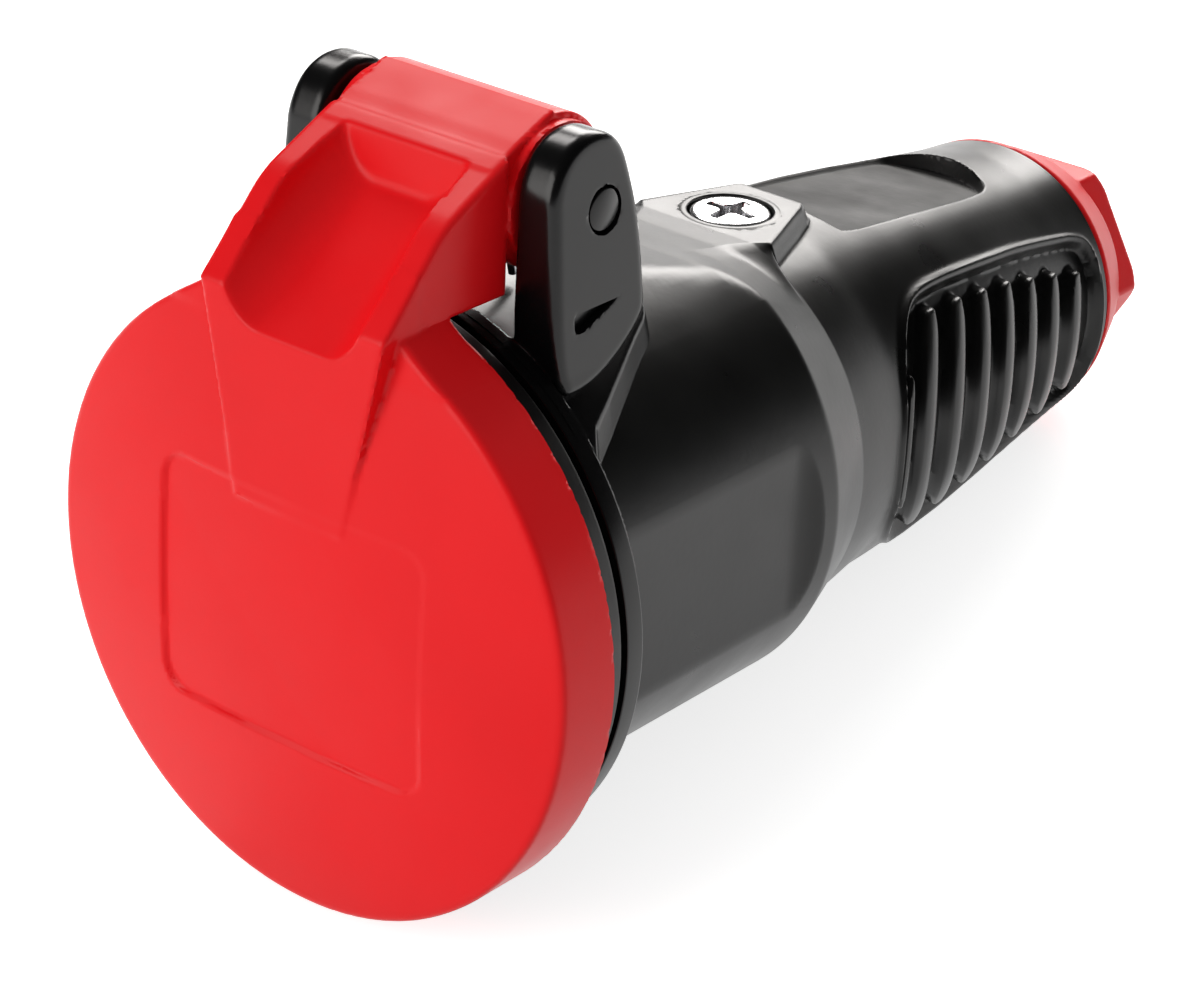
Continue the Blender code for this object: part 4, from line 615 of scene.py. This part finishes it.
def lid_field(p):
    """Give the distance to the lid's moulding."""
    x, depth, height = p[:, 0], p[:, 1], p[:, 2]
    radial = np.hypot(x, height)
    sphere = (DOME_RADIUS ** 2 + DOME_RISE ** 2) / (2 * DOME_RISE)
    dome = np.hypot(radial, depth - (sphere - DOME_RISE)) - sphere
    rim = radial - LID_RADIUS
    panel = rounded_box(x, height + 0.85, 15.0, 11.55, 2.6)
    fade = np.clip(1 - (x + height + 6.85) / 24, 0.2, 1)
    dome = dome + 0.4 * fade * smooth_step(0.5 - panel / 0.45)
    cap = soft_max(soft_max(dome, rim, 0.55), depth - RIM_BACK, 0.15)
    neck_side = (np.abs(x) - 10.2 + (height - LEVER_BOTTOM) * 1.38) / 1.70
    neck_lines = soft_max(height - 28.6, neck_side, 0.6)
    neck = soft_max(np.maximum(neck_lines, 24.6 - height), np.maximum(-depth, depth - LID_DEPTH), 0.6)
    body = soft_min(cap, neck, 0.5)
    first = above_line(depth, height, LEVER_LINE[0], LEVER_LINE[1])
    second = above_line(depth, height, LEVER_LINE[1], LEVER_LINE[2])
    third = above_line(depth, height, LEVER_LINE[2], LEVER_LINE[3])
    slope = soft_max(soft_max(first, second, 0.7), third, 0.15)
    width = np.abs(x) - lever_half_width(height)
    flare = (height - WEDGE_BOTTOM) * (LEVER_HALF - WEDGE_HALF) / (LEVER_BOTTOM - WEDGE_BOTTOM)
    wedge_width = (np.abs(x) - WEDGE_HALF - flare) / 1.025
    width = np.where(height < LEVER_BOTTOM, wedge_width, width)
    front = LEVER_TIP - depth
    wedge = np.maximum(np.maximum(front, slope), np.maximum(WEDGE_BOTTOM - height, depth - 2.5))
    wedge = soft_max(wedge, width, 0.35)
    body = soft_min(body, wedge, 0.3)
    under = np.maximum(28.0 - height, np.maximum(depth - 13.6, front))
    lever = soft_max(soft_max(np.maximum(slope, under), front, 0.4), width, 0.6)
    body = soft_min(body, lever, 0.25)
    barrel = from_pin(depth, height) - KNUCKLE_RADIUS
    crest = np.maximum(np.maximum(slope, 34.2 - height), np.maximum(depth - PIN_DEPTH, 12.0 - depth))
    flat = soft_max(soft_min(barrel, crest, 0.4), third, 0.15)
    knuckle = slab(flat, x, -9.5, 9.5, 0.25)
    hubs = slab(barrel + 0.55, x, -10.4, 10.4, 0.2)
    body = soft_min(body, soft_min(knuckle, hubs, 0.2), 0.25)
    hollow = np.maximum(radial - LID_INNER_RADIUS, LID_WALL - depth)
    bowl = np.maximum(radial - 19.75, np.hypot(radial, depth - (sphere - DOME_RISE + LID_WALL)) - sphere)
    body = soft_max(body, -hollow, 0.3)
    body = soft_max(body, -np.maximum(bowl, depth - 4), 0.3)
    body = soft_max(body, -scoop_field(x, depth, height), 0.22)
    bore = from_pin(depth, height) - (PIN_RADIUS + 0.15)
    body = np.maximum(body, -bore)
    return np.maximum(body, -spring_slot(x, depth, height))


def rounded_box(u, v, half_u, half_v, corner):
    """Give the distance to a flat box with round corners."""
    away_u = np.abs(u) - half_u + corner
    away_v = np.abs(v) - half_v + corner
    outside = np.hypot(np.maximum(away_u, 0), np.maximum(away_v, 0))
    return outside + np.minimum(np.maximum(away_u, away_v), 0) - corner


def scoop_field(x, depth, height):
    """Give the distance to the thumb scoop's hollow."""
    above = above_line(depth, height, (LEVER_TIP, 25.15), (11.9, 35.3))
    half = np.interp(depth, (-2.0, 12.0), (8.0, 7.1))
    section = rounded_box(x, above - 10.0, half, 10.0, 4.5)
    stop = (depth - 11.7 - (height - 37.0) * 0.1) / 1.005
    return soft_max(section, stop, 0.5)


def spring_slot(x, depth, height):
    """Give the distance to the slot behind the knuckle where the spring sits."""
    round_part = from_pin(depth, height) - 5.4
    lower = np.maximum(np.maximum(8.5 - depth, height - (22.6 + (depth - LEVER_TIP) * 0.74)), 20 - height)
    behind = np.maximum(PIN_DEPTH - depth, height - (PIN_HEIGHT + (depth - PIN_DEPTH) * 1.3 + 1.0))
    behind = np.maximum(behind, 20 - height)
    flat = np.minimum(np.minimum(round_part, np.maximum(lower, depth - PIN_DEPTH)), behind)
    return np.maximum(flat, np.abs(x) - 4.6)


def make_lid():
    """Mesh the lid."""
    points, faces = surface_net(lid_field, (-29.6, -3.2, -29.6), (29.6, 27.8, 43.6), 0.345 * DETAIL)
    return make_piece("lid_moulding", points, faces, red, "lid", ["lid"], 55)


# Front collar with its saddle and hinge ears

SADDLE_EDGE = ((12.6, 22.6), (13.6, 21.0), (15.2, 19.4), (16.6, 18.05), (19.84, 16.76), (23.87, 15.0),
               (27.43, 13.37), (29.7, 12.4), (32.0, 11.4))
EAR_OUTLINE = ((13.2, 20.4), (13.2, 36.0), (13.3, 38.3), (14.6, 40.9), (17.0, 42.3), (20.0, 42.3),
               (22.3, 40.9), (23.6, 37.6), (24.7, 33.3), (25.3, 27.0), (25.2, 24.8), (21.2, 21.6),
               (16.9, 20.1))
EAR_SHAPE = softened(list(EAR_OUTLINE), 3)


def collar_field(p):
    """Give the distance to the collar."""
    x, depth, height = p[:, 0], p[:, 1], p[:, 2]
    radial = np.hypot(x, height)
    outside = radial - BAND_RADIUS + 0.15 * smooth_step((20.0 - height) / 5.0)
    band = soft_max(outside, depth - 13.5, 0.3)
    band = np.maximum(soft_max(band, 11.3 - depth, 0.2), 23.4 - radial)
    band = np.maximum(band, 8.0 - height)
    drop = np.maximum(SADDLE_RADIUS - radial, 0) * 0.25
    plan = (np.abs(x) - np.interp(depth, *zip(*SADDLE_EDGE)) - drop) / 1.1
    saddle = soft_max(soft_max(plan, depth - 31.7 - drop, 2.4), radial - SADDLE_RADIUS, 0.3)
    saddle = np.maximum(np.maximum(saddle, 22.4 - radial), np.maximum(12.6 - depth, 5.0 - height))
    body = soft_min(band, saddle, 0.3)
    ears = ear_field(x, depth, height)
    body = soft_min(body, ears, 0.35)
    bore = from_pin(depth, height) - (PIN_RADIUS + 0.15)
    return np.maximum(body, -np.maximum(bore, 8.0 - np.abs(x)))


def ear_field(x, depth, height):
    """Give the distance to the two ears that carry the hinge pin."""
    side = np.abs(x)
    outer = side - np.interp(height, (19.0, 22.0, 37.0, 44.0), (16.7, 16.3, 15.2, 14.8))
    flat = to_outline(depth, height, EAR_SHAPE)
    walls = soft_max(10.9 - side, outer, 0.5)
    notch = np.maximum(height - 27.4, 25.6 + np.maximum(depth - 16.8, 0) * 0.4 - height)
    notch = np.maximum(soft_max(notch, 15.65 - depth, 0.6), 15.2 - side)
    return soft_max(np.maximum(soft_max(flat, walls, 1.1), 23.9 - np.hypot(x, height)), -notch, 0.15)


def make_collar():
    """Mesh the collar's saddle and ears, and turn its ring."""
    points, faces = surface_net(collar_field, (-27.6, 12.0, 2.4), (27.6, 32.0, 44.6), 0.25 * DETAIL)
    make_piece("collar_moulding", points, faces, gloss, "socket", ["front_collar"], 40)
    ring = ((5.2, 21.05), (5.2, 24.4), (5.5, 24.6), (10.6, 24.6), (10.6, 25.8), (11.2, 25.8),
            (11.2, 26.85), (13.2, 26.85), (13.5, 26.6), (13.7, 25.9), (15.0, 23.9), (15.0, 21.05))
    turned("collar_ring", rounded_profile(ring, 0.15), (0, 0, 0), (0, 1, 0), gloss, "socket",
           ["front_collar"], 200)


# Gland nut and housing screw

def nut_field(p):
    """Give the distance to the gland nut."""
    x, depth, height = p[:, 0], p[:, 1], p[:, 2]
    radial = np.hypot(x, height)
    cone = radial - np.interp(depth, (106.5, HEX_FRONT), (14.85, 12.7))
    flange = soft_max(soft_max(cone, depth - HEX_FRONT, 0.4), NUT_FRONT - depth, 0.35)
    hexagon = np.full(x.shape, -99.0)
    for k in range(3):
        turn = pi * (k + 0.5) / 3
        face = np.abs(x * cos(turn) + height * sin(turn)) - HEX_RADIUS * cos(pi / 6)
        hexagon = soft_max(hexagon, face, 0.35)
    chamfer = (radial + depth - HEX_RADIUS - NUT_BACK + 0.9) * 0.7071
    hexagon = soft_max(soft_max(hexagon, depth - NUT_BACK, 0.4), chamfer, 0.2)
    body = soft_min(flange, np.maximum(hexagon, 109.0 - depth), 0.35)
    spigot = np.maximum(radial - 10.8, np.maximum(94.6 - depth, depth - 107.0))
    body = np.minimum(body, spigot)
    bore = radial - np.interp(depth, (HANDLE_END, HEX_FRONT), (9.6, 6.5))
    return soft_max(body, -bore, 0.5)


def make_nut():
    """Mesh the gland nut."""
    points, faces = surface_net(nut_field, (-15.4, 94.0, -15.4), (15.4, 116.4, 15.4), 0.24 * DETAIL)
    return make_piece("gland_nut_moulding", points, faces, red_matte, "socket", ["gland_nut"],
                      50)


def screw_field(p):
    """Give the distance to the housing screw, with its cross recess."""
    x, depth, height = p[:, 0], p[:, 1], p[:, 2]
    away = depth - SCREW_DEPTH
    radial = np.hypot(x, away)
    top = 20.45 + 0.22 * (1 - (radial / SCREW_RADIUS) ** 2)
    head = soft_max(radial - SCREW_RADIUS, np.maximum(height - top, 17.3 - height), 0.5)
    shank = np.maximum(radial - 1.9, np.maximum(9.0 - height, height - 19.0))
    body = np.minimum(head, shank)
    depth_in = 20.9 - height
    width = 0.50 - depth_in * 0.06
    reach = 2.85 - depth_in * 0.55
    arm = soft_max(np.abs(x) - width, np.abs(away) - reach, 0.3)
    other = soft_max(np.abs(away) - width, np.abs(x) - reach, 0.3)
    cross = soft_min(arm, other, 0.9)
    return soft_max(body, -np.maximum(cross, 18.0 - height), 0.12)


def make_screw():
    """Mesh the housing screw."""
    low = (-4.4, SCREW_DEPTH - 4.4, 8.6)
    high = (4.4, SCREW_DEPTH + 4.4, 21.2)
    points, faces = surface_net(screw_field, low, high, 0.09 * DETAIL)
    return make_piece("housing_screw_detail", points, faces, steel, "socket", ["housing_screw"],
                      50)


def make_turned_pieces():
    """Make the lip ring, the lid's seal, the rim of the screw's seat and the hinge pin."""
    lip = ((7.6, 24.8), (7.6, 26.6), (8.0, 26.9), (10.2, 26.9), (10.5, 26.7), (10.5, 24.8))
    turned("lip_ring", rounded_profile(lip, 0.3), (0, 0, 0), (0, 1, 0), lip_rubber, "socket",
           ["front_lip"], 180)
    seal = ((2.3, 21.5), (2.3, 24.3), (4.6, 24.3), (4.9, 23.6), (4.9, 22.2), (4.6, 21.5))
    turned("seal_ring", rounded_profile(seal, 0.4), (0, 0, 0), (0, 1, 0), lip_rubber, "lid",
           ["lid_seal"], 160)
    seat = ((18.6, 4.12), (20.47, 4.12), (20.55, 4.25), (20.54, 4.6), (20.44, 5.1), (18.6, 5.1))
    turned("screw_seat_ring", rounded_profile(seat, 0.06), (0, SCREW_DEPTH, 0), (0, 0, 1), rubber, "socket",
           ["rubber_housing"], 96)
    face = [(-PIN_END, 0), (-PIN_END, 1.75), (-PIN_END + 0.08, 1.86), (-PIN_END + 0.3, 1.9)]
    pin = face + [(-distance, radius) for distance, radius in reversed(face)]
    turned("hinge_pin_detail", pin, (0, PIN_DEPTH, PIN_HEIGHT), (1, 0, 0), gloss, "socket",
           ["hinge_pin"], 48)


def make_spring():
    """Sweep the round wire of the closing spring."""
    half = 3.75
    path = []
    steps = 240
    first = pi * 0.62
    sweep = 12 * pi + pi * 0.95
    for step in range(steps + 1):
        share = step / steps
        angle = first + sweep * share
        path.append(Vector((-half + 2 * half * share, PIN_DEPTH + COIL_RADIUS * cos(angle),
                            PIN_HEIGHT + COIL_RADIUS * sin(angle))))
    path.insert(0, Vector((-half, 10.5, 32.4)))
    last = path[-1]
    path.append(Vector((last.x, last.y + 1.7, 25.8)))
    sides = 12
    points = []
    faces = []
    for k, middle in enumerate(path):
        ahead = (path[min(k + 1, len(path) - 1)] - path[max(k - 1, 0)]).normalized()
        across = (Vector((1, 0, 0)) - ahead * ahead.x).normalized()
        other = ahead.cross(across)
        for side in range(sides):
            angle = 2 * pi * side / sides
            points.append(tuple(middle + (across * cos(angle) + other * sin(angle)) * WIRE_RADIUS))
    for start in range(0, len(points) - sides, sides):
        for side in range(sides):
            following = (side + 1) % sides
            faces.append((start + side, start + following, start + sides + following, start + sides + side))
    faces.append(tuple(range(sides)))
    faces.append(tuple(range(len(points) - sides, len(points))))
    make_piece("spring_wire_detail", points, faces, wire, "socket", ["lid_spring"])


def dress_hidden_nodes():
    """Give the CAD nodes that stay their procedural materials."""
    choices = ((inner, ("socket_insert", "terminal_carrier", "clamp_cage")),
               (lip_rubber, ("cable_grommet",)),
               (brass, ("contact_right", "contact_left", "earth_strap", "earth_terminal")),
               (steel, ("terminal_screw_right", "terminal_screw_left", "terminal_screw_earth")))
    for material, names in choices:
        for name in names:
            for slot in frame["nodes"][name].material_slots:
                slot.material = material


make_housing()
make_lid()
make_collar()
make_nut()
make_screw()
make_turned_pieces()
make_spring()
dress_hidden_nodes()


# Floor, light and camera

LAMP_COLOUR = (1.0, 0.972, 0.945)


def make_floor():
    """Lay the pale floor, which shows plain white to the camera and keeps the object's shadow."""
    mesh = bpy.data.meshes.new("floor")
    size = 6.0
    corners = [(-size, -size, 0), (size, -size, 0), (size, size, 0), (-size, size, 0)]
    mesh.from_pydata(corners, [], [(0, 1, 2, 3)])
    floor = bpy.data.objects.new("floor", mesh)
    bpy.context.scene.collection.objects.link(floor)
    material = bpy.data.materials.new("pale_floor")
    material.use_nodes = True
    nodes = material.node_tree.nodes
    links = material.node_tree.links
    shader = nodes["Principled BSDF"]
    shader.inputs["Roughness"].default_value = 0.9
    shader.inputs["Specular IOR Level"].default_value = 0.1
    shader.inputs["Base Color"].default_value = (0.80, 0.80, 0.80, 1)
    glow = nodes.new("ShaderNodeEmission")
    glow.inputs["Color"].default_value = (1, 1, 1, 1)
    strength = nodes.new("ShaderNodeMath")
    strength.operation = "MULTIPLY"
    strength.inputs[1].default_value = 0.76
    links.new(seen_ray(nodes, links), strength.inputs[0])
    links.new(strength.outputs[0], glow.inputs["Strength"])
    both = nodes.new("ShaderNodeAddShader")
    links.new(shader.outputs[0], both.inputs[0])
    links.new(glow.outputs[0], both.inputs[1])
    links.new(both.outputs[0], nodes["Material Output"].inputs["Surface"])
    floor.data.materials.append(material)


def seen_ray(nodes, links):
    """Give 1 for rays from the camera, reflections and clear materials, and 0 for the rest."""
    path = nodes.new("ShaderNodeLightPath")
    first = nodes.new("ShaderNodeMath")
    first.operation = "MAXIMUM"
    links.new(path.outputs["Is Camera Ray"], first.inputs[0])
    links.new(path.outputs["Is Glossy Ray"], first.inputs[1])
    second = nodes.new("ShaderNodeMath")
    second.operation = "MAXIMUM"
    links.new(first.outputs[0], second.inputs[0])
    links.new(path.outputs["Is Transmission Ray"], second.inputs[1])
    return second.outputs[0]


def make_world():
    """Make the surroundings: an even fill, which mirrors show as a dim room that is pale at the horizon."""
    world = bpy.data.worlds.new("studio")
    world.use_nodes = True
    nodes = world.node_tree.nodes
    links = world.node_tree.links
    background = nodes["Background"]
    place = nodes.new("ShaderNodeTexCoord").outputs["Generated"]
    split = nodes.new("ShaderNodeSeparateXYZ")
    links.new(place, split.inputs[0])
    sky = nodes.new("ShaderNodeValToRGB")
    sky.color_ramp.elements[0].position = 0.01
    sky.color_ramp.elements[0].color = (0.90, 0.90, 0.90, 1)
    sky.color_ramp.elements[1].position = 0.08
    sky.color_ramp.elements[1].color = (0.02, 0.02, 0.02, 1)
    links.new(split.outputs["Z"], sky.inputs["Fac"])
    choice = nodes.new("ShaderNodeMix")
    choice.data_type = "RGBA"
    fill, seen = choice.inputs[6], choice.inputs[7]
    mixed = choice.outputs[2]
    links.new(seen_ray(nodes, links), choice.inputs["Factor"])
    fill.default_value = (0.38, 0.38, 0.38, 1)
    links.new(sky.outputs["Color"], seen)
    links.new(mixed, background.inputs["Color"])
    bpy.context.scene.world = world


def add_softbox(name, location, target, size, power):
    """Hang a soft rectangular lamp that looks at a target."""
    data = bpy.data.lights.new(name, "AREA")
    data.shape = "RECTANGLE"
    data.size, data.size_y = size
    data.energy = power
    data.color = LAMP_COLOUR
    lamp = bpy.data.objects.new(name, data)
    lamp.visible_camera = False
    lamp.location = location
    lamp.rotation_euler = (Vector(target) - Vector(location)).to_track_quat("-Z", "Y").to_euler()
    bpy.context.scene.collection.objects.link(lamp)
    return lamp


def make_camera():
    """Set the camera where the photograph was taken from."""
    turn, rise, roll = radians(37.68), radians(25.70), radians(-3.13)
    forward = Vector((-sin(turn) * cos(rise), cos(turn) * cos(rise), -sin(rise)))
    level = Vector((cos(turn), sin(turn), 0))
    right = level * cos(roll) + level.cross(forward) * -sin(roll)
    up = right.cross(forward)
    pose = Matrix((right, up, -forward)).transposed().to_4x4()
    pose.translation = Vector((189.66, -204.67, 146.41))
    placed = REST @ pose
    rotation = placed.to_quaternion()
    data = bpy.data.cameras.new("camera")
    data.lens = 110.24
    data.sensor_width = 36
    data.clip_start = 0.01
    data.clip_end = 20
    camera = bpy.data.objects.new("camera", data)
    camera.location = placed.translation
    camera.rotation_mode = "QUATERNION"
    camera.rotation_quaternion = rotation
    bpy.context.scene.collection.objects.link(camera)
    bpy.context.scene.camera = camera


make_floor()
make_world()
add_softbox("rear_left_box", (-0.42, 0.97, 0.46), (0, 0, 0.03), (0.70, 0.40), 10.0)
add_softbox("top_left_box", (-0.62, 0.42, 0.82), (0, 0, 0.05), (0.36, 0.26), 3.4)
add_softbox("front_box", (-0.40, -1.00, 0.45), (0, -0.05, 0.03), (0.7, 0.7), 6.8)
make_camera()
bpy.context.scene.view_settings.view_transform = "Standard"
